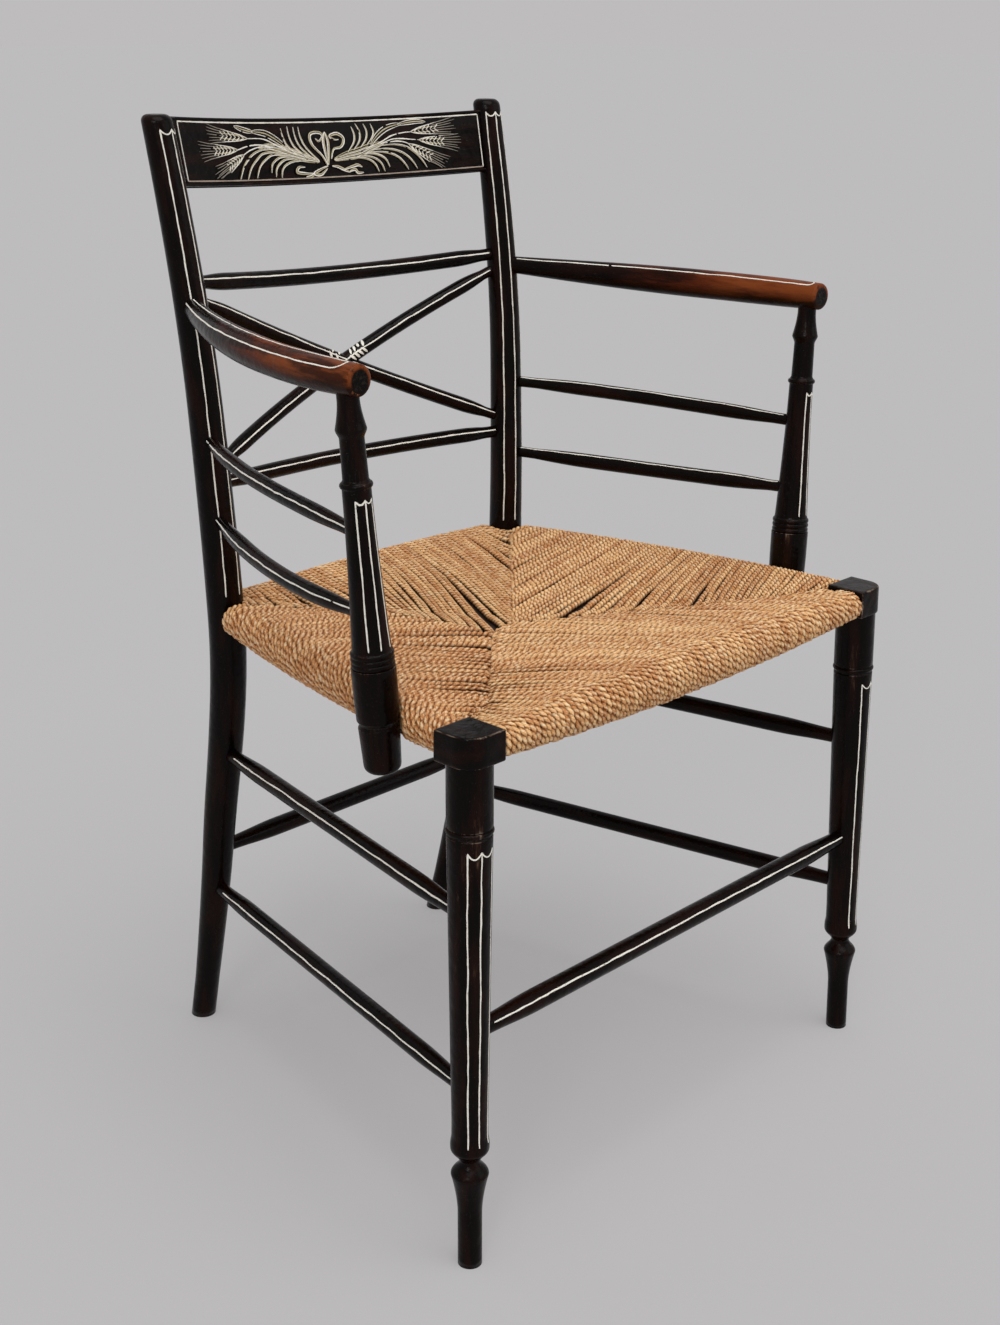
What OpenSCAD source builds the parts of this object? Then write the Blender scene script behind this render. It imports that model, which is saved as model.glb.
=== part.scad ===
// Painted elbow chair: turned front legs, bent back posts, open arms on turned
// supports, a crossed-rod back under a flat crest rail, and a rush seat.
// Heights are above the floor. Depths are behind the line of the front feet,
// until the module placed() moves the whole chair over the middle of its footprint.
// Pieces that come in pairs are drawn on the right and mirrored for the left.

/* [Seat] */
// Height of the top of the front corner blocks
seat_h = 440; // [410:1:470]
// How far the middle of the rush lies below the blocks
seat_dish = 16; // [8:1:24]
// Thickness of the rush in the middle of the seat
rush_middle_t = 20; // [14:1:30]
// Thickness of the rush roll beside the corner blocks
rush_end_t = 20; // [17:0.5:24]
// Extra depth of the rush roll under the middle of each rail
rush_sag = 13; // [8:1:18]
// How far the rush roll rises at mid rail
rush_rise = 6; // [3:0.5:9]
// How far the rush stands proud of the corner blocks at mid rail
rush_bulge = 4; // [1:0.5:7]
// How far the ends of the rush roll lie below the block tops
rush_step = 2; // [0:0.5:4]
// Clear space between the rush and the wood beside it
rush_gap = 0.4; // [0.3:0.1:0.8]

/* [Front legs] */
// Distance between the axes of the front feet
front_foot_spacing = 500; // [470:1:530]
// Distance between the axes of the corner blocks, at their top
block_spacing = 486; // [460:1:510]
// How far the leg top stands behind its foot
leg_lean = 8; // [0:1:16]
// Width of the square corner block
block_w = 37; // [34:0.5:42]
// Height of the corner block
block_h = 24; // [18:1:32]
// Radius of the block's outer front corner
block_corner_r = 17; // [6:0.5:18]
// Diameter of the column under the block
leg_column_d = 34.5; // [31:0.5:36]
// Diameter of the ring below the column
leg_ring_d = 36; // [35:0.5:38]
// Distance of the ring below the seat
leg_ring_drop = 76; // [60:1:95]
// Width of the ring
leg_ring_w = 4; // [3:0.5:6]
// Diameter of the leg just above the ankle
leg_low_d = 28; // [25:0.5:30]
// Diameter of the lip above the ankle
ankle_lip_d = 30.2; // [30:0.1:33]
// Height of the lip above the ankle
ankle_lip_z = 104.5; // [100:0.5:112]
// Diameter of the ankle's neck
ankle_neck_d = 16.5; // [14:0.5:19]
// Height of the ankle's neck
ankle_neck_z = 91.5; // [89:0.5:95]
// Diameter of the bulb under the neck
foot_bulb_d = 29.5; // [26:0.5:32]
// Height of the bulb
foot_bulb_z = 80; // [74:0.5:84]
// Diameter of the foot
foot_d = 19; // [16:0.5:22]
// Height of the straight part of the foot
foot_h = 46; // [36:1:56]

/* [Back posts] */
// Height of the post tops
post_h = 836; // [813:1:860]
// Distance between the post axes at the floor
post_foot_spacing = 316; // [300:1:340]
// How far each post leans outwards for each metre of height
post_splay = 36; // [20:1:50]
// Depth of the post axis at the floor
post_foot_y = 451; // [430:1:470]
// Depth of the post axis at the seat
post_seat_y = 369; // [350:1:385]
// Depth of the post axis at its top
post_top_y = 412; // [395:1:430]
// Largest diameter of the post, at the seat
post_d = 31.7; // [29:0.5:34]
// Diameter of the post's foot
post_foot_d = 23; // [20:0.5:26]
// Diameter of the post's top
post_top_d = 25; // [22:0.5:27]
// Rounding of the post's top
post_top_r = 6; // [2:0.5:9]

/* [Back] */
// How much higher the back's pieces sit on the left post than midway, and lower on the right
back_rack = 4; // [0:0.5:5]
// Distance of the middle of the crest rail below the post tops
crest_drop = 33; // [32:1:44]
// Height of the crest rail's board
crest_h = 55; // [44:1:60]
// Thickness of the crest rail
crest_t = 13; // [10:0.5:15]
// How far the crest rail bows back
crest_bow = 30; // [15:1:40]
// Height of the crest rail's tenon
crest_tenon_h = 44; // [34:1:50]
// Thickness of the crest rail's tenon
crest_tenon_t = 8; // [6:0.5:9]
// Rounding of the crest rail's edges
crest_edge_r = 2; // [1:0.5:4]
// Distance of the upper back rail below the post tops
upper_back_drop = 134; // [120:1:134]
// Diameter of the upper back rail
upper_back_d = 14.5; // [12:0.5:16]
// How far the upper back rail bows back
upper_back_bow = 27; // [15:1:35]
// How far the upper back rail sags
upper_back_sag = 5; // [0:0.5:8]
// Height of the lower back rail, at the posts
lower_back_z = 535; // [522:1:535]
// Diameter of the lower back rail
lower_back_d = 13.8; // [12:0.1:16]
// How far the lower back rail bows back
lower_back_bow = 21; // [12:1:30]
// Distance of the upper end of each crossed rod below the post tops
cross_high_drop = 145; // [145:1:152]
// Height of the lower end of each crossed rod
cross_low_z = 546; // [546:1:556]
// Diameter of the crossed rods
cross_d = 13.5; // [11:0.5:15]
// How far the crossed rods bow back
cross_bow = 28; // [15:1:35]
// Diameter of the back rails at their ends
back_rail_end_d = 11; // [9:0.5:11]
// Diameter of the crossed rods at their ends
cross_end_d = 9.5; // [8:0.5:10]

/* [Arms] */
// Height of the arm's axis at the post
arm_back_z = 688; // [680:1:700]
// Height of the arm's axis at its front end
arm_front_z = 680; // [665:1:695]
// Distance between the front ends of the arms, axis to axis
arm_spacing = 544; // [520:1:570]
// Depth of the arm's front end
arm_front_y = 84; // [70:1:100]
// How far the arm bows outwards
arm_bow = 21.5; // [8:0.1:26]
// How far the arm sags at its middle
arm_sag = 3.2; // [0:0.1:5]
// Largest diameter of the arm
arm_d = 25.5; // [23:0.5:28]
// Diameter of the arm where it meets the post
arm_root_d = 14.5; // [13:0.5:18]
// Diameter of the arm's front end
arm_end_d = 23; // [20:0.5:25]
// Rounding of the arm's front rim
arm_rim_r = 2.5; // [1:0.5:4]
// Diameter of the arm's tenon in the post
arm_tenon_d = 10; // [8:0.5:10]
// Distance from the arm's front end back to the support's axis
arm_overhang = 14.5; // [12:0.5:24]

/* [Arm supports] */
// Distance from the corner block's axis back to the support, along the side rail
support_setback = 80; // [65:1:95]
// Distance of the support's axis outside the side seat rail's axis
support_offset = 23; // [22:0.5:24]
// How far the support reaches below the side seat rail's axis
support_tail = 40; // [32:1:50]
// Diameter of the support's tail at its end
support_tail_d = 28.3; // [26:0.1:30]
// Largest diameter of the support
support_d = 33; // [31:0.5:34]
// Height of the ridged ring above the side seat rail's axis
support_ridge_h = 43; // [36:1:50]
// Width of the ridged ring
support_ridge_w = 12.5; // [10:0.5:16]
// Depth of the grooves in the ridged ring
support_groove = 1.2; // [0.5:0.1:2]
// Diameter just above the ridged ring
support_shaft_d = 29; // [26:0.5:31]
// Diameter just below the thin ring
support_slim_d = 21; // [19:0.5:23]
// Diameter of the thin ring
support_ring_d = 24; // [22:0.5:27]
// Distance of the thin ring below the arm's axis
support_ring_drop = 75; // [66:1:84]
// Width of the thin ring
support_ring_w = 4; // [3:0.5:6]
// Diameter just above the thin ring
support_cone_d = 18.8; // [17:0.1:20]
// Diameter just below the bulb
support_waist_d = 17.8; // [15:0.1:18.5]
// Diameter of the bulb
support_bulb_d = 22.5; // [19:0.5:25]
// Distance of the bulb below the arm's axis
support_bulb_drop = 35; // [33:0.5:38]
// Diameter of the support's neck under the arm
support_neck_d = 16; // [14:0.5:18]
// Diameter of the support's tenon in the arm
support_tenon_d = 12; // [10:0.5:13]
// Distance from the arm's axis down to the end of that tenon
support_tenon_stop = 2; // [0:0.5:3]

/* [Side rails] */
// Height of the upper side rail at the post
upper_side_back_z = 579; // [565:1:600]
// Height of the upper side rail at the support
upper_side_front_z = 569; // [550:1:580]
// How far the upper side rail bows outwards
upper_side_bow = 12.2; // [4:0.1:18]
// Diameter of the upper side rail
upper_side_d = 13; // [11:0.5:15]
// Height of the lower side rail at the post
lower_side_back_z = 512; // [500:1:530]
// Height of the lower side rail at the support
lower_side_front_z = 509; // [496:1:525]
// How far the lower side rail bows outwards
lower_side_bow = 13.6; // [4:0.1:18]
// How far the lower side rail sags
lower_side_sag = 4.2; // [0:0.1:8]
// Diameter of the lower side rail
lower_side_d = 13.8; // [11:0.1:15]
// Diameter of the side rails at their ends
side_rail_end_d = 10; // [8:0.5:11]

/* [Stretchers] */
// Height of the front stretcher
front_stretcher_z = 199; // [180:1:230]
// Diameter of the front stretcher
front_stretcher_d = 18; // [15:0.5:20]
// Diameter of the front stretcher at its ends
front_stretcher_end_d = 14; // [11:0.5:14]
// Height of the upper side stretchers
upper_stretcher_z = 293.5; // [270:0.5:320]
// Diameter of the upper side stretchers
upper_stretcher_d = 16; // [14:0.5:18]
// Height of the lower side stretchers
lower_stretcher_z = 150.5; // [130:0.5:165]
// Diameter of the lower side stretchers
lower_stretcher_d = 15.8; // [14:0.1:18]
// Height of the back stretcher
back_stretcher_z = 190; // [180:1:220]
// Diameter of the back stretcher
back_stretcher_d = 16.8; // [14:0.1:18]
// Diameter of the side and back stretchers at their ends
stretcher_end_d = 12.5; // [10:0.5:13]
// Length over which a stretcher swells from its end to its full diameter
stretcher_taper = 55; // [30:1:80]

/* [Seat rails] */
// Height of the front seat rail's axis below the block tops
front_rail_drop = 11.5; // [9:0.5:13]
// Height of the side seat rail's axis below the block tops, at the block
side_rail_drop = 14; // [11:0.5:15]
// Height of the side seat rail's axis below the block tops, at the post
side_rail_back_drop = 10; // [9:0.5:12]
// Height of the back seat rail's axis below the block tops
back_rail_drop = 12; // [9:0.5:13]
// Diameter of the seat rails
seat_rail_d = 22; // [18:0.5:23]
// Diameter of the seat rails at their ends
seat_rail_end_d = 11.5; // [10:0.5:12]
// Distance of the seat rails' tenons from the leg's axis, towards the outside
seat_rail_shift = 4; // [4:0.5:7]
// Distance of the flat for the arm support outside the side seat rail's axis
seat_rail_flat = 9; // [8:0.5:10]
// Diameter of the dowel between the side seat rail and the arm support
dowel_d = 8; // [6:0.5:10]
// Depth of the dowel in each of the two pieces
dowel_depth = 9; // [7:0.5:10]

/* [Joints] */
// Clear space round each tenon and dowel
joint_gap = 0.1; // [0.05:0.05:0.2]
// Clear space at the end of each tenon and dowel
joint_end_gap = 0.5; // [0.3:0.1:0.8]
// Wood left between a leg's or post's axis and the end of a tenon
tenon_stop = 5.6; // [5.5:0.1:7]
// The same in an arm support
slim_tenon_stop = 2; // [1:0.5:3]
// The same for the corner block
block_tenon_stop = 3; // [2.5:0.5:6]

/* [Hidden] */

LEFT = -1;
RIGHT = 1;
PAINT = "#231d1b";
ARM_PAINT = "#6a3c24";
RUSH = "#c8975f";
BARE_WOOD = "#b08a5c";
$fn = 64;
post_sides = 24;
post_rings = 36;
arm_sides = 24;
arm_steps = 20;
rod_sides = 16;
rod_steps = 14;
// A length that reaches past the chair from any point of it
far = 2000;
// A short length by which a cut reaches past the surface that it opens
over = 5;

// Plain helpers
function unit(v) = v / norm(v);
function mirrored(p, side) = [side * p.x, p.y, p.z];
function flat_turn(v) = [v.y, -v.x, 0];

// Heights that hang from the post tops
crest_z = post_h - crest_drop;
upper_back_z = post_h - upper_back_drop;
cross_high_z = post_h - cross_high_drop;

// The post's axis: four smooth stretches through knots of [height, depth, lean]
post_knee_z = 200;
post_knee_setback = 36;
post_knee_y = post_seat_y + post_knee_setback;
post_knee_lean = -0.19;
post_upright_drop = 20;
post_upright_z = seat_h - post_upright_drop;
post_rake_z = 600;
post_rake_setback = 7;
post_rake_y = post_seat_y + post_rake_setback;
post_rake_lean = 0.06;
// The ends lean a little more than the straight line to the next knot
foot_lean_share = 1.13;
top_lean_share = 1.4;
post_knots = [
    [0, post_foot_y, (post_knee_y - post_foot_y) / post_knee_z * foot_lean_share],
    [post_knee_z, post_knee_y, post_knee_lean],
    [post_upright_z, post_seat_y, 0],
    [post_rake_z, post_rake_y, post_rake_lean],
    [post_h, post_top_y, (post_top_y - post_rake_y) / (post_h - post_rake_z) * top_lean_share]];
function cubic(a, b, z) =
    let (span = b[0] - a[0], u = (z - a[0]) / span)
    a[1] * (2 * pow(u, 3) - 3 * pow(u, 2) + 1) + b[1] * (3 * pow(u, 2) - 2 * pow(u, 3))
    + span * (a[2] * (pow(u, 3) - 2 * pow(u, 2) + u) + b[2] * (pow(u, 3) - pow(u, 2)));
function stretch_at(z, i = 0) =
    (i == len(post_knots) - 2 || z < post_knots[i + 1][0]) ? i : stretch_at(z, i + 1);
function post_depth(z) = let (i = stretch_at(z)) cubic(post_knots[i], post_knots[i + 1], z);
function post_lean(z) = post_depth(z + 0.5) - post_depth(z - 0.5);
function post_at(z, side = RIGHT) =
    [side * (post_foot_spacing / 2 + post_splay * z / 1000), post_depth(z), z];
// The post's radius: straight foot, swelling to the seat, tapering to the top
post_swell_z = 45;
post_full_drop = 40;
post_full_z = seat_h - post_full_drop;
function post_low_r(share) = (post_foot_d + (post_d - post_foot_d) * sin(90 * share)) / 2;
function post_high_r(share) = (post_d - (post_d - post_top_d) * pow(share, 1.3)) / 2;
function post_r(z) = z < post_swell_z ? post_foot_d / 2
    : z < post_full_z ? post_low_r((z - post_swell_z) / (post_full_z - post_swell_z))
    : post_high_r((z - post_full_z) / (post_h - post_full_z));

// The front leg's axis
function leg_at(z, side = RIGHT) = let (share = z / seat_h)
    [side * (front_foot_spacing + (block_spacing - front_foot_spacing) * share) / 2, leg_lean * share, z];

// A bent piece is [start, end, bow, skew]: a line with a smooth bow and a small lopsided part
function bow_share(t) = 4 * t * (1 - t);
function bent_at(line, t) = line[0] + (line[1] - line[0]) * t
    + line[2] * bow_share(t) + line[3] * bow_share(t) * (1 - 2 * t);
function bent_length(line) = norm(line[1] - line[0]);
// Direction in which a bent piece leaves its start: the chord to a point just outside the host
function leaving(line, host_r) = unit(bent_at(line, (host_r + 2 * over) / bent_length(line)) - line[0]);
function turned_about(line) = [line[1], line[0], line[2], -line[3]];

NO_BEND = [0, 0, 0];
inwards = [-1, 0, 0];
// A piece of the back, from the left post to the right one, racked with the rest of the back
function back_line(z_left, z_right, bow, sag = 0) =
    let (lean = post_lean((z_left + z_right) / 2))
    [post_at(z_left + back_rack, LEFT), post_at(z_right - back_rack, RIGHT),
        bow * unit([0, 1, -lean]) - [0, 0, sag], NO_BEND];
// The same line seen from one post, as if that were the right-hand post
function from_post(line, side) =
    side == LEFT ? [for (v = line) mirrored(v, LEFT)] : turned_about(line);
upper_back_line = back_line(upper_back_z, upper_back_z, upper_back_bow, upper_back_sag);
lower_back_line = back_line(lower_back_z, lower_back_z, lower_back_bow);
// The front rod falls from left to right, the back rod rises
cross_front_line = back_line(cross_high_z, cross_low_z, cross_bow);
cross_back_line = back_line(cross_low_z, cross_high_z, cross_bow);

arm_end = [arm_spacing / 2, arm_front_y, arm_front_z];
arm_line = [post_at(arm_back_z), arm_end, [arm_bow, 0, -arm_sag], [-2.2, 0, -0.4]];
arm_length = bent_length(arm_line);
arm_swell_share = 0.6;
arm_taper_share = 0.75;
function arm_r(t) = (arm_root_d + (arm_d - arm_root_d) * sin(90 * min(1, t / arm_swell_share))
    - (arm_d - arm_end_d) * pow(max(0, t - arm_taper_share) / (1 - arm_taper_share), 2)) / 2;

// Side seat rail: from the corner block to the post, shifted outwards at the block
side_rail_front = leg_at(seat_h - side_rail_drop) + [seat_rail_shift, 0, 0];
side_rail_back = post_at(seat_h - side_rail_back_drop);
side_rail_length = norm(side_rail_back - side_rail_front);
side_rail_way = unit([side_rail_back.x - side_rail_front.x, side_rail_back.y - side_rail_front.y, 0]);
outwards = flat_turn(side_rail_way);
support_rail_point = side_rail_front
    + (side_rail_back - side_rail_front) * support_setback / side_rail_length;

// Arm support: its axis leaves beside the side seat rail and ends on the arm's axis
support_seat = support_rail_point + outwards * support_offset;
support_arm_t = 1 - arm_overhang / arm_length;
support_top = bent_at(arm_line, support_arm_t);
support_way = unit(support_top - support_seat);
support_length = norm(support_top - support_seat);
function support_at(z) = support_seat + support_way * (z - support_seat.z) / support_way.z;

upper_side_line = [post_at(upper_side_back_z), support_at(upper_side_front_z),
    [upper_side_bow, 0, -0.8], [5.3, 0, 0]];
lower_side_line = [post_at(lower_side_back_z), support_at(lower_side_front_z),
    [lower_side_bow, 0, -lower_side_sag], [-0.7, 0, 0]];

// Seat rails that run straight across
front_rail_left = leg_at(seat_h - front_rail_drop, LEFT) - [0, seat_rail_shift, 0];
front_rail_right = leg_at(seat_h - front_rail_drop, RIGHT) - [0, seat_rail_shift, 0];
back_rail_left = post_at(seat_h - back_rail_drop, LEFT);
back_rail_right = post_at(seat_h - back_rail_drop, RIGHT);
post_seat_r = post_r(seat_h);

// The rush seat's outline and the middle of the chair's footprint
rush_z = seat_h - rush_step;
rush_front_corner = leg_at(seat_h) + [block_w / 2, -block_w / 2, 0];
rush_back_corner = post_at(seat_h) + [post_seat_r * 0.6, post_seat_r + 2 * rush_step, 0];
front_y = rush_front_corner.y - rush_bulge;
back_y = post_foot_y + post_foot_d / 2;
middle_y = (front_y + back_y) / 2;

// Moves the chair over the middle of its footprint
module placed() translate([0, -middle_y, 0]) children();

// Mirrors a right-hand piece for the left side
module on_side(side) {
    if (side == LEFT) mirror([1, 0, 0]) children();
    else children();
}

// Stands upright work along a line, keeping its square sides square to the seat
module along(start, way) {
    tilt = acos(unit(way).z);
    heading = atan2(way.y, way.x);
    translate(start) rotate([0, tilt, heading]) rotate([0, 0, -heading]) children();
}

// A solid turned from a list of [height, radius] points
module turned(profile) {
    first = profile[0];
    last = profile[len(profile) - 1];
    rotate_extrude() polygon(concat([[0, first[0]]], [for (p = profile) [p[1], p[0]]], [[0, last[0]]]));
}

// Steps of a curve from one [height, radius] point to the next, level at both ends
function eased(a, b, steps = 6) = [for (i = [1:steps])
    let (u = i / steps) [a[0] + (b[0] - a[0]) * u, a[1] + (b[1] - a[1]) * (1 - cos(180 * u)) / 2]];
// The same, but level only at the start
function flared(a, b, steps = 6) = [for (i = [1:steps])
    let (u = i / steps) [a[0] + (b[0] - a[0]) * u, a[1] + (b[1] - a[1]) * pow(u, 1.7)]];
// A half-round bead
function bead(z, r_low, r_top, width, steps = 6) = [for (i = [0:steps])
    let (a = 180 * i / steps) [z - cos(a) * width / 2, r_low + (r_top - r_low) * sin(a)]];

// A hole for a round tenon, open towards its member
module socket(start, way, d, stop, host_r) {
    along(start, way) translate([0, 0, stop - joint_end_gap])
        cylinder(d = d + 2 * joint_gap, h = host_r + over + joint_end_gap - stop);
}
module bent_socket(line, d, stop, host_r) socket(line[0], leaving(line, host_r), d, stop, host_r);

// A straight member with tenons, from one host's axis to the other's
module rung(a, b, full_d, end_d, stop_a, stop_b, r_a, r_b, taper = stretcher_taper, grow = 0) {
    length = norm(b - a);
    foot = [r_a, end_d / 2 + grow];
    low = [r_a + taper, full_d / 2 + grow];
    high = [length - r_b - taper, full_d / 2 + grow];
    top = [length - r_b, end_d / 2 + grow];
    along(a, b - a)
        turned(concat([[stop_a, end_d / 2 + grow], foot], eased(foot, low), [high], eased(high, top),
            [[length - stop_b, end_d / 2 + grow]]));
}

// A solid swept through rings of [centre, radius, u, v]
module swept(rings, sides) {
    points = [for (r = rings, i = [0:sides - 1])
        let (a = 360 * i / sides) r[0] + r[1] * (cos(a) * r[2] + sin(a) * r[3])];
    last = (len(rings) - 1) * sides;
    faces = concat(
        [[for (i = [0:sides - 1]) i]],
        [for (k = [0:len(rings) - 2], i = [0:sides - 1])
            let (j = (i + 1) % sides, a = k * sides, b = a + sides)
                each [[a + i, b + i, a + j], [a + j, b + i, b + j]]],
        [[for (i = [sides - 1:-1:0]) last + i]]);
    polyhedron(points = points, faces = faces);
}

// Rings square to a bent line at stations of [share of the line, radius]
function bent_rings(line, stations) = [for (s = stations)
    let (way = unit(bent_at(line, s[0] + 0.01) - bent_at(line, s[0] - 0.01)),
        u = unit(cross(way, [0, 0, 1])), v = cross(u, way))
    [bent_at(line, s[0]), s[1], v, u]];

// A bent rod that swells from round tenons at both ends
rod_taper = 60;
back_taper = 30;
module bent_rod(line, full_d, end_d, stop_a, stop_b, r_a, r_b, taper = rod_taper) {
    length = bent_length(line);
    start = r_a + over;
    run = length - r_b - r_a - 2 * over;
    // The rod's skin starts just under the tenon's skin and soon stands over it
    skin_r = end_d / 2 - 0.5;
    stations = [for (i = [0:rod_steps])
        let (s = i / rod_steps * run, near = min(s, run - s))
        [(start + s) / length, skin_r + (full_d / 2 - skin_r) * sin(90 * min(1, near / taper))]];
    reach = 3 * over;
    swept(bent_rings(line, stations), rod_sides);
    along(line[0], leaving(line, r_a)) translate([0, 0, stop_a])
        cylinder(d = end_d, h = r_a + reach - stop_a);
    back = turned_about(line);
    along(back[0], leaving(back, r_b)) translate([0, 0, stop_b])
        cylinder(d = end_d, h = r_b + reach - stop_b);
}

// Half the width of the board's arc, seen from the middle of its curve
crest_x = post_at(crest_z).x;
crest_r = (pow(crest_x, 2) + pow(crest_bow, 2)) / (2 * crest_bow);
crest_half_angle = asin(crest_x / crest_r);
crest_lean = atan(post_lean(crest_z));
crest_tilt = atan(back_rack / crest_x);
// The board's place; with LEFT, its mirror image, in which a left-hand tenon is drawn
module crest_frame(side = RIGHT)
    translate([0, post_depth(crest_z), crest_z]) rotate([-crest_lean, 0, 0])
        rotate([0, side * crest_tilt, 0]) translate([0, crest_bow - crest_r, 0]) children();
// One of the crest rail's tenons, drawn on the right; grow makes the mortise for it
module crest_tenon(side, grow = 0, end_grow = 0) {
    stop = slim_tenon_stop;
    reach = post_top_d / 2 + 2 * over;
    crest_frame(side) rotate([0, 0, 90 - crest_half_angle])
        translate([crest_r - crest_tenon_t / 2 - grow, stop - end_grow, -crest_tenon_h / 2 - grow])
            cube([crest_tenon_t + 2 * grow, reach - stop + end_grow, crest_tenon_h + 2 * grow]);
}
// An oblong with rounded corners, centred
module rounded_oblong(w, h, r, steps = 4) {
    polygon([for (corner = [0:3], k = [0:steps])
        let (a = 90 * (corner + k / steps), x = corner == 0 || corner == 3 ? 1 : -1, y = corner < 2 ? 1 : -1)
        [x * (w / 2 - r) + r * cos(a), y * (h / 2 - r) + r * sin(a)]]);
}

// A straight stand-in for a short stretch of a post, for coped shoulders
module post_cope(z, half, gap) {
    low = post_at(z - half);
    high = post_at(z + half);
    along(low, high - low)
        cylinder(r1 = post_r(z - half) + gap, r2 = post_r(z + half) + gap, h = norm(high - low));
}

module rear_post(side) {
    top_steps = 4;
    heights = concat([for (i = [0:post_rings]) i / post_rings * (post_h - post_top_r)],
        [for (i = [1:top_steps]) post_h - post_top_r * (1 - sin(90 * i / top_steps))]);
    function shrink(z) = z <= post_h - post_top_r ? 0
        : post_top_r * (1 - sqrt(1 - pow((z - post_h + post_top_r) / post_top_r, 2)));
    color(PAINT) placed() on_side(side) difference() {
        swept([for (z = heights) [post_at(z), post_r(z) - shrink(z), [1, 0, 0], [0, 1, 0]]], post_sides);
        crest_tenon(side, joint_gap, joint_end_gap);
        for (line = [from_post(upper_back_line, side), from_post(lower_back_line, side)])
            bent_socket(line, back_rail_end_d, tenon_stop, post_r(line[0].z));
        for (line = [from_post(cross_front_line, side), from_post(cross_back_line, side)])
            bent_socket(line, cross_end_d, tenon_stop, post_r(line[0].z));
        bent_socket(arm_line, arm_tenon_d, tenon_stop, post_r(arm_back_z));
        for (line = [upper_side_line, lower_side_line])
            bent_socket(line, side_rail_end_d, tenon_stop, post_r(line[0].z));
        for (z = [upper_stretcher_z, lower_stretcher_z])
            socket(post_at(z), leg_at(z) - post_at(z), stretcher_end_d, tenon_stop, post_r(z));
        socket(post_at(back_stretcher_z), inwards, stretcher_end_d, tenon_stop, post_r(back_stretcher_z));
        socket(back_rail_right, inwards, seat_rail_end_d, tenon_stop, post_seat_r);
        socket(side_rail_back, side_rail_front - side_rail_back, seat_rail_end_d, tenon_stop, post_seat_r);
    }
}

leg_ring_z = seat_h - leg_ring_drop;
ankle_lip_h = 3;
leg_low_z = 125;
leg_groove = 0.8;
leg_below_ring_d = leg_column_d - 0.3;
function leg_r(z) = z > leg_ring_z ? leg_column_d / 2
    : (leg_low_d + (leg_below_ring_d - leg_low_d) * (z - leg_low_z) / (leg_ring_z - leg_low_z)) / 2;
leg_profile = concat(
    [[0, foot_d / 2], [foot_h, foot_d / 2]],
    flared([foot_h, foot_d / 2], [foot_bulb_z, foot_bulb_d / 2]),
    eased([foot_bulb_z, foot_bulb_d / 2], [ankle_neck_z, ankle_neck_d / 2]),
    eased([ankle_neck_z, ankle_neck_d / 2], [ankle_lip_z - ankle_lip_h / 2, ankle_lip_d / 2]),
    [[ankle_lip_z + ankle_lip_h / 2, ankle_lip_d / 2]],
    eased([ankle_lip_z + ankle_lip_h / 2, ankle_lip_d / 2], [leg_low_z - 2 * over, leg_low_d / 2 + 0.1]),
    [[leg_low_z, leg_low_d / 2],
        [leg_ring_z - leg_ring_w, leg_below_ring_d / 2],
        [leg_ring_z - 0.75 * leg_ring_w, leg_below_ring_d / 2 - leg_groove]],
    bead(leg_ring_z, leg_below_ring_d / 2 - leg_groove, leg_ring_d / 2, leg_ring_w),
    [[leg_ring_z + 0.75 * leg_ring_w, leg_column_d / 2], [seat_h, leg_column_d / 2]]);

// The corner block, with its outer front corner rounded
module corner_block() {
    half = block_w / 2;
    r = block_corner_r;
    linear_extrude(block_h + over) {
        translate([-half, -half]) square([2 * half - r, 2 * half]);
        translate([-half, r - half]) square([2 * half, 2 * half - r]);
        translate([half - r, r - half]) circle(r);
    }
}
// A slab as large as the chair between two heights
module between(low, high) translate([-far / 2, -far / 2, low]) cube([far, far, high - low]);

module front_leg(side) {
    way = leg_at(seat_h) - leg_at(0);
    color(PAINT) placed() on_side(side) difference() {
        intersection() {
            union() {
                along(leg_at(0) - way / norm(way) * over, way)
                    turned(concat([[0, foot_d / 2]], [for (p = leg_profile) [p[0] + over, p[1]]]));
                along(leg_at(seat_h - block_h), way) corner_block();
            }
            between(0, seat_h);
        }
        socket(leg_at(front_stretcher_z), inwards, front_stretcher_end_d, tenon_stop,
            leg_r(front_stretcher_z));
        for (z = [upper_stretcher_z, lower_stretcher_z])
            socket(leg_at(z), post_at(z) - leg_at(z), stretcher_end_d, tenon_stop, leg_r(z));
        socket(front_rail_right, inwards, seat_rail_end_d, block_tenon_stop, block_w / 2);
        socket(side_rail_front, side_rail_back - side_rail_front, seat_rail_end_d, block_tenon_stop,
            block_w / 2);
    }
}

module crest_rail() {
    color(PAINT) placed() union() {
        difference() {
            crest_frame() rotate([0, 0, 90 - crest_half_angle])
                rotate_extrude(angle = 2 * crest_half_angle, $fn = 256)
                    translate([crest_r, 0]) rounded_oblong(crest_t, crest_h, crest_edge_r);
            for (side = [LEFT, RIGHT]) on_side(side) post_cope(crest_z, crest_h, joint_gap);
        }
        for (side = [LEFT, RIGHT]) on_side(side) crest_tenon(side);
    }
}

module back_rail(line, d)
    bent_rod(line, d, back_rail_end_d, tenon_stop, tenon_stop, post_r(line[0].z), post_r(line[1].z),
        back_taper);
module upper_back_rail() color(PAINT) placed() back_rail(upper_back_line, upper_back_d);
module lower_back_rail() color(PAINT) placed() back_rail(lower_back_line, lower_back_d);

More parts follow.
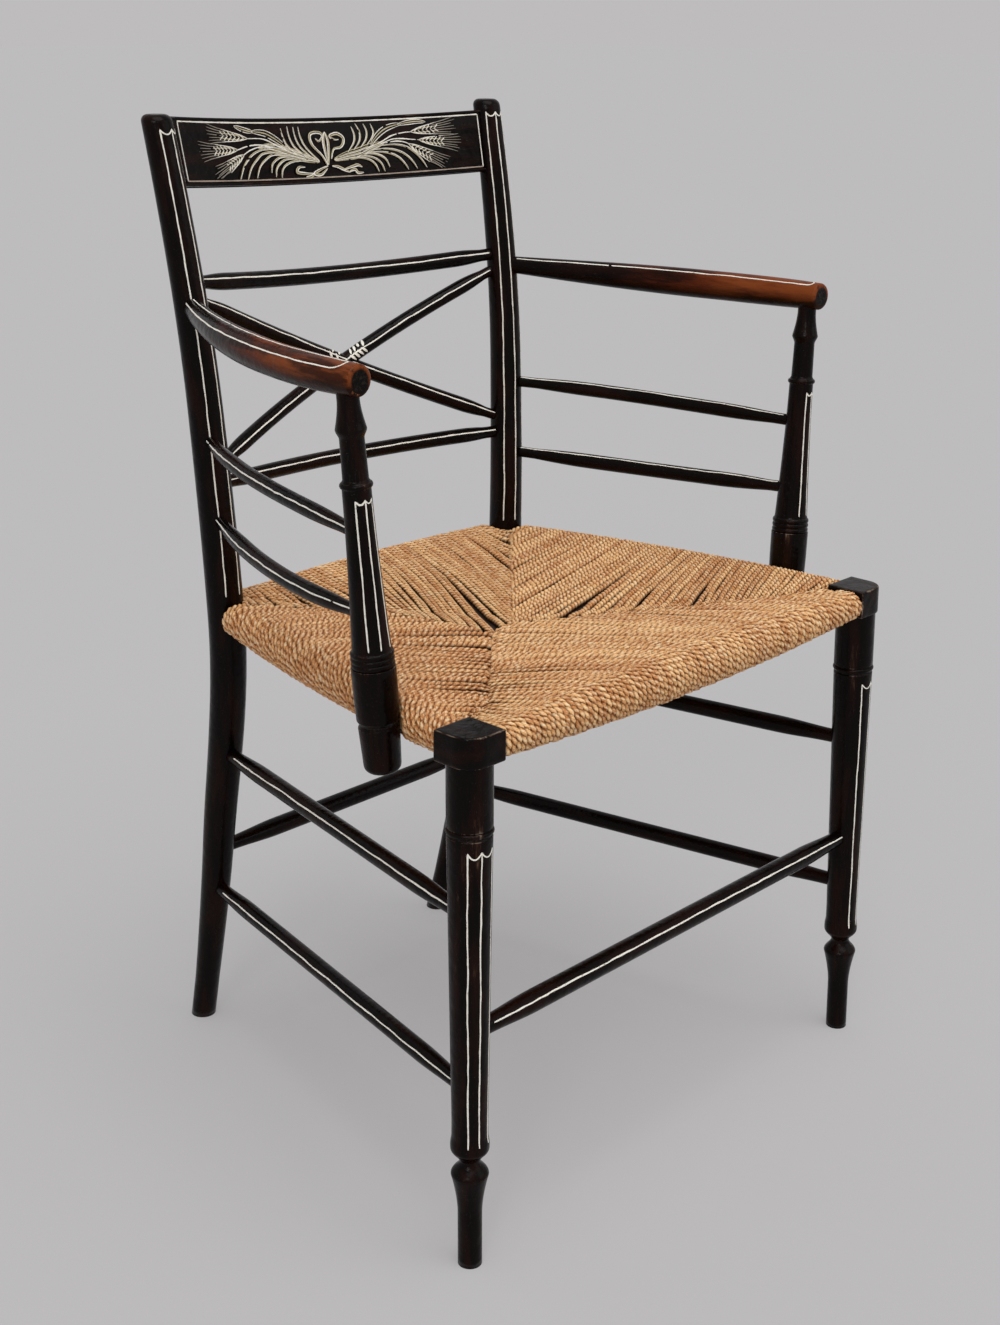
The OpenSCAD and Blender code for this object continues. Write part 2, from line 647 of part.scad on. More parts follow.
// A crossed rod with half of its thickness cut away where the other passes
module cross_rod(line, other, facing) {
    centre = bent_at(line, 0.5);
    heading = atan2(other[1].z - other[0].z, other[1].x - other[0].x);
    lean = atan(post_lean(centre.z));
    width = cross_d + 2 * joint_gap;
    color(PAINT) placed() difference() {
        bent_rod(line, cross_d, cross_end_d, tenon_stop, tenon_stop, post_r(line[0].z),
            post_r(line[1].z), back_taper);
        translate(centre) rotate([-lean, 0, 0]) rotate([0, -heading, 0])
            translate([-2 * cross_d, facing == LEFT ? -cross_d : -joint_gap / 2, -width / 2])
                cube([4 * cross_d, cross_d + joint_gap / 2, width]);
    }
}
module cross_rod_front() cross_rod(cross_front_line, cross_back_line, RIGHT);
module cross_rod_back() cross_rod(cross_back_line, cross_front_line, LEFT);

module arm(side) {
    rim_steps = 4;
    rim_share = arm_rim_r / arm_length;
    root_share = post_r(arm_back_z) / 2 / arm_length;
    stations = concat(
        [for (i = [0:arm_steps])
            let (t = root_share + (1 - rim_share - root_share) * i / arm_steps) [t, arm_r(t)]],
        [for (i = [1:rim_steps]) let (a = 90 * i / rim_steps)
            [1 - rim_share * (1 - sin(a)), arm_r(1) - arm_rim_r * (1 - cos(a))]]);
    way = leaving(arm_line, post_r(arm_back_z));
    color(ARM_PAINT) placed() on_side(side) difference() {
        union() {
            difference() {
                swept(bent_rings(arm_line, stations), arm_sides);
                post_cope(arm_back_z, arm_d, joint_gap);
            }
            along(arm_line[0], way) translate([0, 0, tenon_stop])
                cylinder(d = arm_tenon_d, h = post_r(arm_back_z) + 2 * over - tenon_stop);
        }
        along(support_top, -support_way) translate([0, 0, support_tenon_stop - joint_end_gap])
            cylinder(d = support_tenon_d + 2 * joint_gap, h = arm_d);
    }
}

support_shaft_z = support_ridge_h + support_ridge_w + 2;
// The shaft's radius at a share of the way from the ridged ring to the thin ring
function support_shaft_r(share) =
    (support_slim_d + (support_shaft_d - support_slim_d) * pow(1 - share, 1.5)) / 2;
// The support's outline by height above the side seat rail's axis
function support_profile() =
    let (top = support_length, ring_z = top - support_ring_drop, bulb_z = top - support_bulb_drop,
        bulb_w = 7, cone_h = 20, end_r = 6, notch = 2, body_r = support_d / 2 - 0.4,
        ridge = support_ridge_w / 3, ridge_r = support_d / 2 - 0.3)
    concat(
        [for (i = [0:4]) let (a = 90 * i / 4)
            [-support_tail + end_r * (1 - cos(a)), support_tail_d / 2 - end_r * (1 - sin(a))]],
        [[-2 * notch, body_r - 0.6], [-notch / 2, body_r - notch], [notch, body_r]],
        [[support_ridge_h / 2, support_d / 2], [support_ridge_h, support_d / 2]],
        [for (i = [0:2])
            each bead(support_ridge_h + ridge * (i + 0.5), ridge_r - support_groove, ridge_r, ridge, 4)],
        [[support_shaft_z, support_shaft_d / 2]],
        [for (i = [1:8]) let (u = i / 8, low = support_shaft_z, high = ring_z - support_ring_w)
            [low + (high - low) * u, support_shaft_r(u)]],
        bead(ring_z, support_slim_d / 2, support_ring_d / 2, support_ring_w),
        [[ring_z + support_ring_w, support_cone_d / 2], [bulb_z - bulb_w, support_waist_d / 2]],
        eased([bulb_z - bulb_w, support_waist_d / 2], [bulb_z, support_bulb_d / 2]),
        [for (i = [1:8]) let (u = i / 8)
            [bulb_z + cone_h * u,
                (support_neck_d + (support_bulb_d - support_neck_d) * pow(1 - u, 1.6)) / 2]],
        [[top, support_neck_d / 2]]);

module support_tenon() {
    along(support_top, -support_way) translate([0, 0, support_tenon_stop])
        cylinder(d = support_tenon_d, h = arm_d);
}
// The plane where the support meets the side seat rail, with the rail on its low side
module at_rail_flat()
    translate(support_rail_point) rotate([0, 0, atan2(outwards.y, outwards.x)])
        translate([seat_rail_flat, 0, 0]) children();
module dowel(end_gap = 0, gap = 0)
    at_rail_flat() translate([-dowel_depth - end_gap, 0, 0]) rotate([0, 90, 0])
        cylinder(d = dowel_d + 2 * gap, h = 2 * (dowel_depth + end_gap));

module arm_support(side) {
    arm_way = bent_at(arm_line, support_arm_t + 0.02) - bent_at(arm_line, support_arm_t - 0.02);
    notch_h = seat_rail_d + 2 * over;
    color(PAINT) placed() on_side(side) union() {
        difference() {
            along(support_seat, support_way) turned(support_profile());
            along(support_top - arm_way, arm_way)
                cylinder(r = arm_r(support_arm_t) + joint_gap, h = 2 * norm(arm_way));
            at_rail_flat() translate([-seat_rail_d, -seat_rail_d, -notch_h / 2])
                cube([seat_rail_d, 2 * seat_rail_d, notch_h]);
            dowel(joint_end_gap, joint_gap);
            for (line = [upper_side_line, lower_side_line])
                bent_socket(turned_about(line), side_rail_end_d, slim_tenon_stop, support_shaft_d / 2);
        }
        support_tenon();
    }
}

function support_r(z) =
    let (h = (z - support_seat.z) / support_way.z, high = support_length - support_ring_drop)
    support_shaft_r((h - support_shaft_z) / (high - support_shaft_z));
module side_rail(line, d)
    bent_rod(line, d, side_rail_end_d, tenon_stop, slim_tenon_stop,
        post_r(line[0].z), support_r(line[1].z));
module upper_side_rail(side) color(PAINT) placed() on_side(side) side_rail(upper_side_line, upper_side_d);
module lower_side_rail(side) color(PAINT) placed() on_side(side) side_rail(lower_side_line, lower_side_d);

module upper_stretcher(side) side_stretcher(side, upper_stretcher_z, upper_stretcher_d);
module lower_stretcher(side) side_stretcher(side, lower_stretcher_z, lower_stretcher_d);
module front_stretcher()
    color(PAINT) placed() rung(leg_at(front_stretcher_z, LEFT), leg_at(front_stretcher_z, RIGHT),
        front_stretcher_d, front_stretcher_end_d, tenon_stop, tenon_stop,
        leg_r(front_stretcher_z), leg_r(front_stretcher_z));
module back_stretcher()
    color(PAINT) placed() rung(post_at(back_stretcher_z, LEFT), post_at(back_stretcher_z, RIGHT),
        back_stretcher_d, stretcher_end_d, tenon_stop, tenon_stop,
        post_r(back_stretcher_z), post_r(back_stretcher_z));
module side_stretcher(side, z, d)
    color(PAINT) placed() on_side(side) rung(leg_at(z), post_at(z), d, stretcher_end_d,
        tenon_stop, tenon_stop, leg_r(z), post_r(z));

// The seat rails; grow makes the space for them inside the rush
module front_rail_body(grow = 0)
    rung(front_rail_left, front_rail_right, seat_rail_d, seat_rail_end_d,
        block_tenon_stop, block_tenon_stop, block_w / 2, block_w / 2, stretcher_taper, grow);
module back_rail_body(grow = 0)
    rung(back_rail_left, back_rail_right, seat_rail_d, seat_rail_end_d,
        tenon_stop, tenon_stop, post_seat_r, post_seat_r, stretcher_taper, grow);
module side_rail_body(grow = 0)
    rung(side_rail_front, side_rail_back, seat_rail_d, seat_rail_end_d,
        block_tenon_stop, tenon_stop, block_w / 2, post_seat_r, stretcher_taper, grow);

module front_seat_rail() color(BARE_WOOD) placed() front_rail_body();
module back_seat_rail() color(BARE_WOOD) placed() back_rail_body();
module side_seat_rail(side) {
    notch_l = 2 * support_d;
    color(BARE_WOOD) placed() on_side(side) difference() {
        side_rail_body();
        at_rail_flat() translate([0, -notch_l / 2, -seat_rail_d])
            cube([seat_rail_d, notch_l, 2 * seat_rail_d]);
        dowel(joint_end_gap, joint_gap);
    }
}
module support_dowel(side) color(BARE_WOOD) placed() on_side(side) dowel();

// The rush seat's outline: points of [edge, height of the roll's top, height of its underside]
side_points = 12;
function rush_side(a, b, out) = [for (i = [0:side_points - 1])
    let (w = i / side_points, q = bow_share(w))
    [a + (b - a) * w + out * rush_bulge * q, rush_z + rush_rise * q, rush_z - rush_end_t - rush_sag * q]];
rush_outline =
    let (fr = rush_front_corner, fl = mirrored(fr, LEFT), br = rush_back_corner, bl = mirrored(br, LEFT),
        out = unit(flat_turn(br - fr)))
    concat(rush_side(fl, fr, [0, -1, 0]), rush_side(fr, br, out),
        rush_side(br, bl, [0, 1, 0]), rush_side(bl, fl, mirrored(out, LEFT)));
rush_centre = [0, (rush_front_corner.y + rush_back_corner.y) / 2 + over, 0];
roll_steps = 6;
// One section of the rush, from the top of the seat round its rolled edge to the underside
function rush_section(p) =
    let (in = unit([rush_centre.x - p[0].x, rush_centre.y - p[0].y, 0]), r = (p[1] - p[2]) / 2,
        core = [p[0].x, p[0].y, (p[1] + p[2]) / 2] + in * r, mid = (core + rush_centre) / 2)
    concat([[mid.x, mid.y, (p[1] + seat_h - seat_dish) / 2]],
        [for (k = [0:roll_steps])
            let (a = 90 - 180 * k / roll_steps) core - in * r * cos(a) + [0, 0, r * sin(a)]],
        [[mid.x, mid.y, (p[2] + seat_h - seat_dish - rush_middle_t) / 2]]);
module rush_pad() {
    count = len(rush_outline);
    ring = roll_steps + 3;
    top = count * ring;
    points = concat([for (p = rush_outline) each rush_section(p)],
        [rush_centre + [0, 0, seat_h - seat_dish],
            rush_centre + [0, 0, seat_h - seat_dish - rush_middle_t]]);
    faces = concat(
        [for (i = [0:count - 1], k = [0:ring - 2])
            let (a = i * ring + k, b = (i + 1) % count * ring + k) each [[a, b, a + 1], [b, b + 1, a + 1]]],
        [for (i = [0:count - 1]) [top, (i + 1) % count * ring, i * ring]],
        [for (i = [0:count - 1]) [top + 1, i * ring + ring - 1, (i + 1) % count * ring + ring - 1]]);
    polyhedron(points = points, faces = faces);
}
// The room that the rush leaves at the right-hand corners and round the arm support
module rush_notches() {
    low = rush_end_t + rush_sag + 2 * over;
    half = block_w / 2 + rush_gap;
    along(leg_at(seat_h - low), leg_at(seat_h) - leg_at(0))
        translate([-half, half - far, 0]) cube([far, far, 2 * low]);
    post_low = post_at(seat_h - low);
    post_high = post_at(seat_h + low);
    along(post_low, post_high - post_low)
        cylinder(r = post_d / 2 + rush_gap, h = norm(post_high - post_low));
    translate([post_low.x, post_low.y, post_low.z]) cube([far, far, 2 * low]);
    along(support_seat - support_way * low, support_way)
        cylinder(d = support_d + 2 * rush_gap, h = 2 * low);
    side_rail_body(rush_gap);
}
module rush_seat() {
    color(RUSH) placed() difference() {
        rush_pad();
        for (side = [LEFT, RIGHT]) on_side(side) rush_notches();
        front_rail_body(rush_gap);
        back_rail_body(rush_gap);
    }
}

rear_post(LEFT);  // rear_post_left
rear_post(RIGHT);  // rear_post_right
front_leg(LEFT);  // front_leg_left
front_leg(RIGHT);  // front_leg_right
crest_rail();
upper_back_rail();
lower_back_rail();
cross_rod_front();
cross_rod_back();
arm(LEFT);  // arm_left
arm(RIGHT);  // arm_right
arm_support(LEFT);  // arm_support_left
arm_support(RIGHT);  // arm_support_right
upper_side_rail(LEFT);  // upper_side_rail_left
upper_side_rail(RIGHT);  // upper_side_rail_right
lower_side_rail(LEFT);  // lower_side_rail_left
lower_side_rail(RIGHT);  // lower_side_rail_right
front_stretcher();
back_stretcher();
upper_stretcher(LEFT);  // upper_stretcher_left
upper_stretcher(RIGHT);  // upper_stretcher_right
lower_stretcher(LEFT);  // lower_stretcher_left
lower_stretcher(RIGHT);  // lower_stretcher_right
front_seat_rail();
back_seat_rail();
side_seat_rail(LEFT);  // side_seat_rail_left
side_seat_rail(RIGHT);  // side_seat_rail_right
support_dowel(LEFT);  // support_dowel_left
support_dowel(RIGHT);  // support_dowel_right
rush_seat();
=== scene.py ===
import math

import bpy
import numpy as np
from mathutils import Matrix


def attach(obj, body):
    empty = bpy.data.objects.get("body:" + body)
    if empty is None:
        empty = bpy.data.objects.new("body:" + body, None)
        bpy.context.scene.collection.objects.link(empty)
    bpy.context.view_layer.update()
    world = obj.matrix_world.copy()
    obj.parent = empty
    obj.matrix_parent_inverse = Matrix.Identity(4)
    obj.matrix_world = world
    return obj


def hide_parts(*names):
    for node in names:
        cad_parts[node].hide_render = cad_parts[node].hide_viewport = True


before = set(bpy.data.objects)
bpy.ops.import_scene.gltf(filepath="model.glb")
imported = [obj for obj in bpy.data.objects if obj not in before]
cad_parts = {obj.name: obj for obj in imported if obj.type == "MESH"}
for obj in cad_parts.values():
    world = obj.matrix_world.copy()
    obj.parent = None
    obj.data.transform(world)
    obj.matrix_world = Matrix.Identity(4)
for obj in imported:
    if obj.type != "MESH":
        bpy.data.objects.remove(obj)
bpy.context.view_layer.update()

MM = 0.001
LEFT, RIGHT = -1, 1
MIDDLE_Y = 224.0
UP, FRONT = np.array([0.0, 0, 1]), np.array([0.0, -1, 0])


def to_frame(points):
    """Millimetres behind the front feet to metres in the shared frame."""
    p = np.array(points, float)
    p[..., 1] -= MIDDLE_Y
    return p * MM


def unit(v):
    v = np.asarray(v, float)
    return v / np.linalg.norm(v, axis=-1, keepdims=True)


def lerp(a, b, t):
    return a + (b - a) * t


def lengths(points):
    """How far along a line each of its points lies."""
    return np.concatenate([[0], np.cumsum(np.linalg.norm(np.diff(points, axis=0), axis=1))])


def sampled(at, s, rows):
    """Rows of numbers that are known at s, read off at other places."""
    return np.stack([np.interp(at, s, column) for column in np.asarray(rows).T], -1)


# The wooden pieces' axes and radii, as in the part

SEAT_H, POST_H = 440.0, 836.0
POST_X, POST_SPREAD = 158.0, 0.036
POST_FOOT_D, POST_D, POST_TOP_D = 23.0, 31.7, 25.0
POST_FOOT_Z, POST_SEAT_Z = 45.0, 400.0
# A post's bends: height, place behind the front feet, lean
POST_KNOTS = ((0, 451, -0.2599), (200, 405, -0.19), (420, 369, 0), (600, 376, 0.06), (POST_H, 412, 0.2136))
LEG_X, LEG_IN, LEG_BACK = 250.0, 7.0, 8.0
# The back sits higher on the left post and lower on the right one
RACK = 4.0


def post_y(z):
    i = max(k for k in range(len(POST_KNOTS) - 1) if z >= POST_KNOTS[k][0] or k == 0)
    (za, ya, la), (zb, yb, lb) = POST_KNOTS[i], POST_KNOTS[i + 1]
    span, u = zb - za, (z - za) / (zb - za)
    return (ya * (2 * u**3 - 3 * u**2 + 1) + yb * (3 * u**2 - 2 * u**3)
            + span * (la * (u**3 - 2 * u**2 + u) + lb * (u**3 - u**2)))


def post_lean(z):
    return post_y(z + 0.5) - post_y(z - 0.5)


def post_at(z, side=RIGHT):
    return np.array([side * (POST_X + POST_SPREAD * z), post_y(z), z])


def post_r(z):
    if z < POST_SEAT_Z:
        u = max(0, z - POST_FOOT_Z) / (POST_SEAT_Z - POST_FOOT_Z)
        return lerp(POST_FOOT_D, POST_D, math.sin(math.pi / 2 * u)) / 2
    return lerp(POST_D, POST_TOP_D, ((z - POST_SEAT_Z) / (POST_H - POST_SEAT_Z)) ** 1.3) / 2


def leg_at(z, side=RIGHT):
    share = z / SEAT_H
    return np.array([side * (LEG_X - LEG_IN * share), LEG_BACK * share, z])


def bow_share(t):
    return 4 * t * (1 - t)


class Bent:
    """A line with a smooth bow and a small lopsided part."""

    def __init__(self, a, b, bow, skew=(0, 0, 0)):
        self.a, self.b = np.array(a, float), np.array(b, float)
        self.bow, self.skew = np.array(bow, float), np.array(skew, float)
        self.length = np.linalg.norm(self.b - self.a)

    def at(self, t):
        return lerp(self.a, self.b, t) + bow_share(t) * (self.bow + self.skew * (1 - 2 * t))


def back_line(z_left, z_right, bow, sag=0.0):
    lean = post_lean((z_left + z_right) / 2)
    bend = bow * unit((0, 1, -lean)) - (0, 0, sag)
    return Bent(post_at(z_left + RACK, LEFT), post_at(z_right - RACK, RIGHT), bend)


def mirrored(line, side):
    s = np.array([side, 1, 1])
    return Bent(line.a * s, line.b * s, line.bow * s, line.skew * s)


UPPER_BACK = back_line(702, 702, 27, 5)
LOWER_BACK = back_line(535, 535, 21)
CROSS_FRONT = back_line(691, 546, 28)
CROSS_BACK = back_line(546, 691, 28)
ARM = Bent(post_at(688), (272, 84, 680), (21.5, 0, -3.2), (-2.2, 0, -0.4))

SIDE_RAIL_FRONT = leg_at(426) + (4, 0, 0)
SIDE_RAIL_BACK = post_at(430)
SIDE_WAY = unit((SIDE_RAIL_BACK - SIDE_RAIL_FRONT) * (1, 1, 0))
OUTWARDS = np.array([SIDE_WAY[1], -SIDE_WAY[0], 0])
SUPPORT_SEAT = SIDE_RAIL_FRONT + 80 * unit(SIDE_RAIL_BACK - SIDE_RAIL_FRONT) + 23 * OUTWARDS
SUPPORT_TOP = ARM.at(1 - 14.5 / ARM.length)
SUPPORT_WAY = unit(SUPPORT_TOP - SUPPORT_SEAT)
SUPPORT_L = float(np.linalg.norm(SUPPORT_TOP - SUPPORT_SEAT))


def support_at(z):
    return SUPPORT_SEAT + SUPPORT_WAY * (z - SUPPORT_SEAT[2]) / SUPPORT_WAY[2]


UPPER_SIDE = Bent(post_at(579), support_at(569), (12.2, 0, -0.8), (5.3, 0, 0))
LOWER_SIDE = Bent(post_at(512), support_at(509), (13.6, 0, -4.2), (-0.7, 0, 0))


# Materials


class Nodes:
    """A short way to write the nodes of a material or world."""

    def __init__(self, owner):
        owner.use_nodes = True
        self.owner, self.tree = owner, owner.node_tree
        self.tree.nodes.clear()

    def put(self, socket, value):
        if isinstance(value, bpy.types.NodeSocket):
            self.tree.links.new(value, socket)
        elif isinstance(value, tuple) and len(value) == 3 and socket.type == "RGBA":
            socket.default_value = (*value, 1)
        else:
            socket.default_value = value

    def add(self, kind, inputs, **props):
        node = self.tree.nodes.new(kind)
        for key, value in props.items():
            setattr(node, key, value)
        for key, value in inputs.items():
            self.put(node.inputs[key], value)
        return node

    def attr(self, name, kind="Fac"):
        return self.add("ShaderNodeAttribute", {}, attribute_name=name).outputs[kind]

    def place(self):
        return self.add("ShaderNodeTexCoord", {}).outputs["Object"]

    def scaled(self, vector, scale):
        return self.add("ShaderNodeVectorMath", {0: vector, 1: scale}, operation="MULTIPLY").outputs[0]

    def noise(self, vector, scale, detail, rough=0.6):
        inputs = {"Vector": vector, "Scale": scale, "Detail": detail, "Roughness": rough}
        return self.add("ShaderNodeTexNoise", inputs).outputs[0]

    def math(self, operation, *values):
        return self.add("ShaderNodeMath", dict(enumerate(values)), operation=operation).outputs[0]

    def step(self, value, low, high, to_low=0.0, to_high=1.0):
        """A smooth step from to_low to to_high as the value goes from low to high."""
        inputs = {"Value": value, "From Min": low, "From Max": high, "To Min": to_low, "To Max": to_high}
        return self.add("ShaderNodeMapRange", inputs, interpolation_type="SMOOTHSTEP").outputs[0]

    def mix(self, share, a, b):
        return self.add("ShaderNodeMix", {0: share, 6: a, 7: b}, data_type="RGBA").outputs[2]

    def tint(self, colour, target, *step):
        """The colour turned towards another by a smooth step."""
        return self.mix(self.step(*step), colour, target)

    def bump(self, height, distance, strength=1.0, under=None):
        inputs = {"Height": height, "Distance": distance, "Strength": strength}
        if under is not None:
            inputs["Normal"] = under
        return self.add("ShaderNodeBump", inputs).outputs[0]

    def blend(self, share, a, b):
        return self.add("ShaderNodeMixShader", {0: share, 1: a, 2: b}).outputs[0]

    def seen(self):
        """One for rays that come from the camera, a glossy surface or glass, and nothing for the others."""
        rays = self.add("ShaderNodeLightPath", {}).outputs
        near = self.math("MAXIMUM", rays["Is Camera Ray"], rays["Is Glossy Ray"])
        return self.math("MAXIMUM", near, rays["Is Transmission Ray"])

    def surface(self, **inputs):
        inputs = {key.replace("_", " "): value for key, value in inputs.items()}
        return self.add("ShaderNodeBsdfPrincipled", inputs).outputs[0]

    def finish(self, **inputs):
        self.add("ShaderNodeOutputMaterial", {0: self.surface(**inputs)})
        return self.owner


def new_material(name):
    return Nodes(bpy.data.materials.new(name))


def worn_paint(name, colours, worn_colours, wear, gloss, shine, share=None):
    """Old paint over wood: patches, specks, brush marks, and bare places where hands and feet rub.

    The first two colours lie in patches. The others come in one by one as the share grows."""
    n = new_material(name)
    flow = n.attr("flow", "Vector")
    along = n.scaled(flow, (1, 1, 0.16))
    edge = n.attr("worn")
    patches, fine, specks = n.noise(along, 95, 4), n.noise(along, 520, 3), n.noise(flow, 1500, 2, 0.5)
    grain = n.noise(n.scaled(flow, (1, 1, 0.035)), 1900, 2)
    colour = n.tint(colours[0], colours[1], patches, 0.44, 0.66)
    if share:
        where = n.math("ADD", n.attr(share), n.step(patches, 0.3, 0.7, -0.16, 0.16))
        for k, tone in enumerate(colours[2:]):
            low = 0.26 + 0.20 * k
            colour = n.tint(colour, tone, where, low, low + 0.26)
        colour = n.tint(colour, colours[1], n.noise(along, 75, 5, 0.65), 0.47, 0.62, 0, 0.8)
        # Painted shade on undersides, in the first colour, and the arm's end face in its own black paint
        colour = n.mix(n.attr("under"), colour, colours[0])
    colour = n.tint(colour, worn_colours[0], grain, 0.62, 0.8, 0, 0.22)
    chips = n.math("MULTIPLY_ADD", edge, 0.42, n.math("MULTIPLY_ADD", fine, 0.6, patches))
    bare_from, pale_from = 1.16 - 0.2 * wear, 1.25 - 0.2 * wear
    bare = n.step(chips, bare_from, bare_from + 0.10)
    colour = n.mix(bare, colour, worn_colours[0])
    colour = n.tint(colour, worn_colours[1], chips, pale_from, pale_from + 0.13)
    dust = n.math("MULTIPLY_ADD", edge, -0.35, fine)
    colour = n.tint(colour, (0.060, 0.048, 0.038), dust, 0.66, 0.86, 0, 0.25)
    colour = n.tint(colour, (0.16, 0.145, 0.13), specks, 0.69, 0.76, 0, 0.35)
    rough = n.math("MULTIPLY_ADD", bare, 0.2, n.step(patches, 0.3, 0.7, gloss - 0.07, gloss + 0.13))
    dents = n.bump(n.noise(flow, 120, 2, 0.5), 0.0006)
    relief = n.math("MULTIPLY", n.math("SUBTRACT", grain, bare), 0.5)
    return n.finish(Base_Color=colour, Roughness=rough, Normal=n.bump(relief, 0.00016, 1.0, dents),
                    Specular_IOR_Level=shine)


def line_paint(name, pale, dull):
    """Thin painted lines, yellowed and rubbed through to the black in places."""
    n = new_material(name)
    place = n.place()
    rubbed = n.noise(place, 520, 3)
    colour = n.mix(n.noise(place, 90, 2, 0.55), pale, dull)
    colour = n.tint(colour, (0.24, 0.17, 0.11), rubbed, 0.58, 0.72, 0, 0.7)
    return n.finish(Base_Color=colour, Roughness=n.step(rubbed, 0.3, 0.7, 0.45, 0.65),
                    Normal=n.bump(rubbed, 0.0001))


def rush_cord():
    """Dry twisted rush: fibres along each strand, a painted highlight on the strands' tops, and painted
    shade, dark red-brown, in the hollows.
    """
    n = new_material("rush_cord")
    flow = n.attr("flow", "Vector")
    fibres = n.noise(n.scaled(flow, (1, 1, 0.10)), 1500, 3)
    patch = n.noise(n.place(), 34, 3)
    across = n.math("ABSOLUTE", n.add("ShaderNodeSeparateXYZ", {"Vector": flow}).outputs["X"])
    mottle = n.noise(flow, 380, 3)
    # Millimetres from the line where a cord's two strands meet, made uneven
    strand = n.math("MULTIPLY_ADD", across, 1000.0, n.step(mottle, 0.3, 0.7, -0.5, 0.5))
    warm = n.math("MULTIPLY_ADD", n.attr("tone"), 0.55, n.math("MULTIPLY", patch, 0.45))
    colour = n.tint((0.67, 0.275, 0.085), (0.98, 0.545, 0.225), warm, 0.25, 0.75)
    # Pale and dark flecks, dark fibres, a painted highlight on the strands' tops and painted shade in the
    # lines between them
    for target, *step in (((1.0, 0.84, 0.56), mottle, 0.52, 0.66, 0, 0.4),
                          ((0.34, 0.125, 0.040), mottle, 0.34, 0.48, 0.4, 0),
                          ((0.24, 0.095, 0.036), fibres, 0.54, 0.74, 0, 0.5),
                          ((1.0, 0.86, 0.58), strand, 1.8, 2.5, 0, 0.5),
                          ((0.13, 0.030, 0.006), strand, 0.1, 1.35, 0.85, 0)):
        colour = n.tint(colour, target, *step)
    # Painted shade: near black under the cords, in the crevices of their twist and where they sink into the
    # seams
    colour = n.mix(n.attr("painted_shade"), colour, (0.045, 0.008, 0.0015))
    return n.finish(Base_Color=colour, Roughness=n.step(fibres, 0.3, 0.7, 0.32, 0.52),
                    Normal=n.bump(fibres, 0.00035, 0.8), Specular_IOR_Level=0.18)


def streaky(name, stretch, scale, colours, low, rough, depth):
    """A dull material with streaks of two colours."""
    n = new_material(name)
    streaks = n.noise(n.scaled(n.place(), stretch), scale, 4)
    return n.finish(Base_Color=n.tint(*colours, streaks, low, 0.7),
                    Roughness=n.step(streaks, 0.3, 0.7, *rough), Normal=n.bump(streaks, depth))


BLACK, RED_BLACK = (0.0026, 0.0012, 0.0009), (0.0105, 0.0028, 0.0015)
ARM_BROWNS = ((0.040, 0.007, 0.002), (0.115, 0.022, 0.005), (0.205, 0.048, 0.011))
paint = worn_paint("black_paint", (BLACK, RED_BLACK), ((0.030, 0.013, 0.007), (0.17, 0.13, 0.095)),
                   0.34, 0.16, 0.09)
arm_paint = worn_paint("arm_paint", (BLACK, RED_BLACK, *ARM_BROWNS),
                       ((0.13, 0.040, 0.012), (0.30, 0.17, 0.09)), 0.36, 0.18, 0.08, "share")
cream = line_paint("cream_paint", (0.95, 0.91, 0.83), (0.87, 0.81, 0.69))
straw = line_paint("straw_paint", (0.62, 0.55, 0.36), (0.46, 0.39, 0.24))
dulled = line_paint("dulled_paint", (0.46, 0.36, 0.29), (0.34, 0.26, 0.20))
faded = line_paint("faded_paint", (0.34, 0.30, 0.24), (0.24, 0.21, 0.17))
cord_material = rush_cord()
# The stuffing seen between the cords, near black as painted shade in the gaps, and bare beech for the pieces
# that the rush hides
shaded_filling = streaky("rush_filling", (1, 1, 3), 420, ((0.014, 0.005, 0.002), (0.055, 0.020, 0.008)),
                  0.4, (0.75, 0.9), 0.001)
wood = streaky("bare_wood", (1, 0.25, 4), 260, ((0.46, 0.29, 0.14), (0.30, 0.17, 0.075)),
               0.35, (0.5, 0.65), 0.0003)
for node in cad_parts.values():
    node.data.materials.clear()
    node.data.materials.append(wood)


# Mesh building


def add_piece(name, points, faces, material, replaces=(), floats=None, flow=None, flat=2):
    """One mesh from points in millimetres, with its attributes, riding on the chair.

    As many of its last faces as flat says are shaded flat."""
    mesh = bpy.data.meshes.new(name)
    mesh.from_pydata(to_frame(np.reshape(points, (-1, 3))).tolist(), [], faces)
    for key, values in (floats or {}).items():
        layer = mesh.attributes.new(key, "FLOAT", "POINT")
        layer.data.foreach_set("value", np.asarray(values, np.float32).ravel())
    if flow is not None:
        layer = mesh.attributes.new("flow", "FLOAT_VECTOR", "POINT")
        layer.data.foreach_set("vector", (np.asarray(flow) * MM).astype(np.float32).ravel())
    smooth = np.arange(len(faces)) < len(faces) - flat
    mesh.polygons.foreach_set("use_smooth", smooth)
    mesh.materials.append(material)
    mesh.validate()
    piece = bpy.data.objects.new(name, mesh)
    bpy.context.collection.objects.link(piece)
    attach(piece, "root")
    if replaces:
        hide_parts(*replaces)


def tube_faces(rings, sides, first=0):
    """Quads between rings of points, and the two end faces."""
    i = np.repeat(np.arange(rings - 1), sides)
    j = np.tile(np.arange(sides), rings - 1)
    k = (j + 1) % sides
    quads = np.stack([i * sides + j, i * sides + k, (i + 1) * sides + k, (i + 1) * sides + j], 1) + first
    low = (np.arange(sides)[::-1] + first).tolist()
    high = (np.arange(sides) + (rings - 1) * sides + first).tolist()
    return quads.tolist() + [low, high]


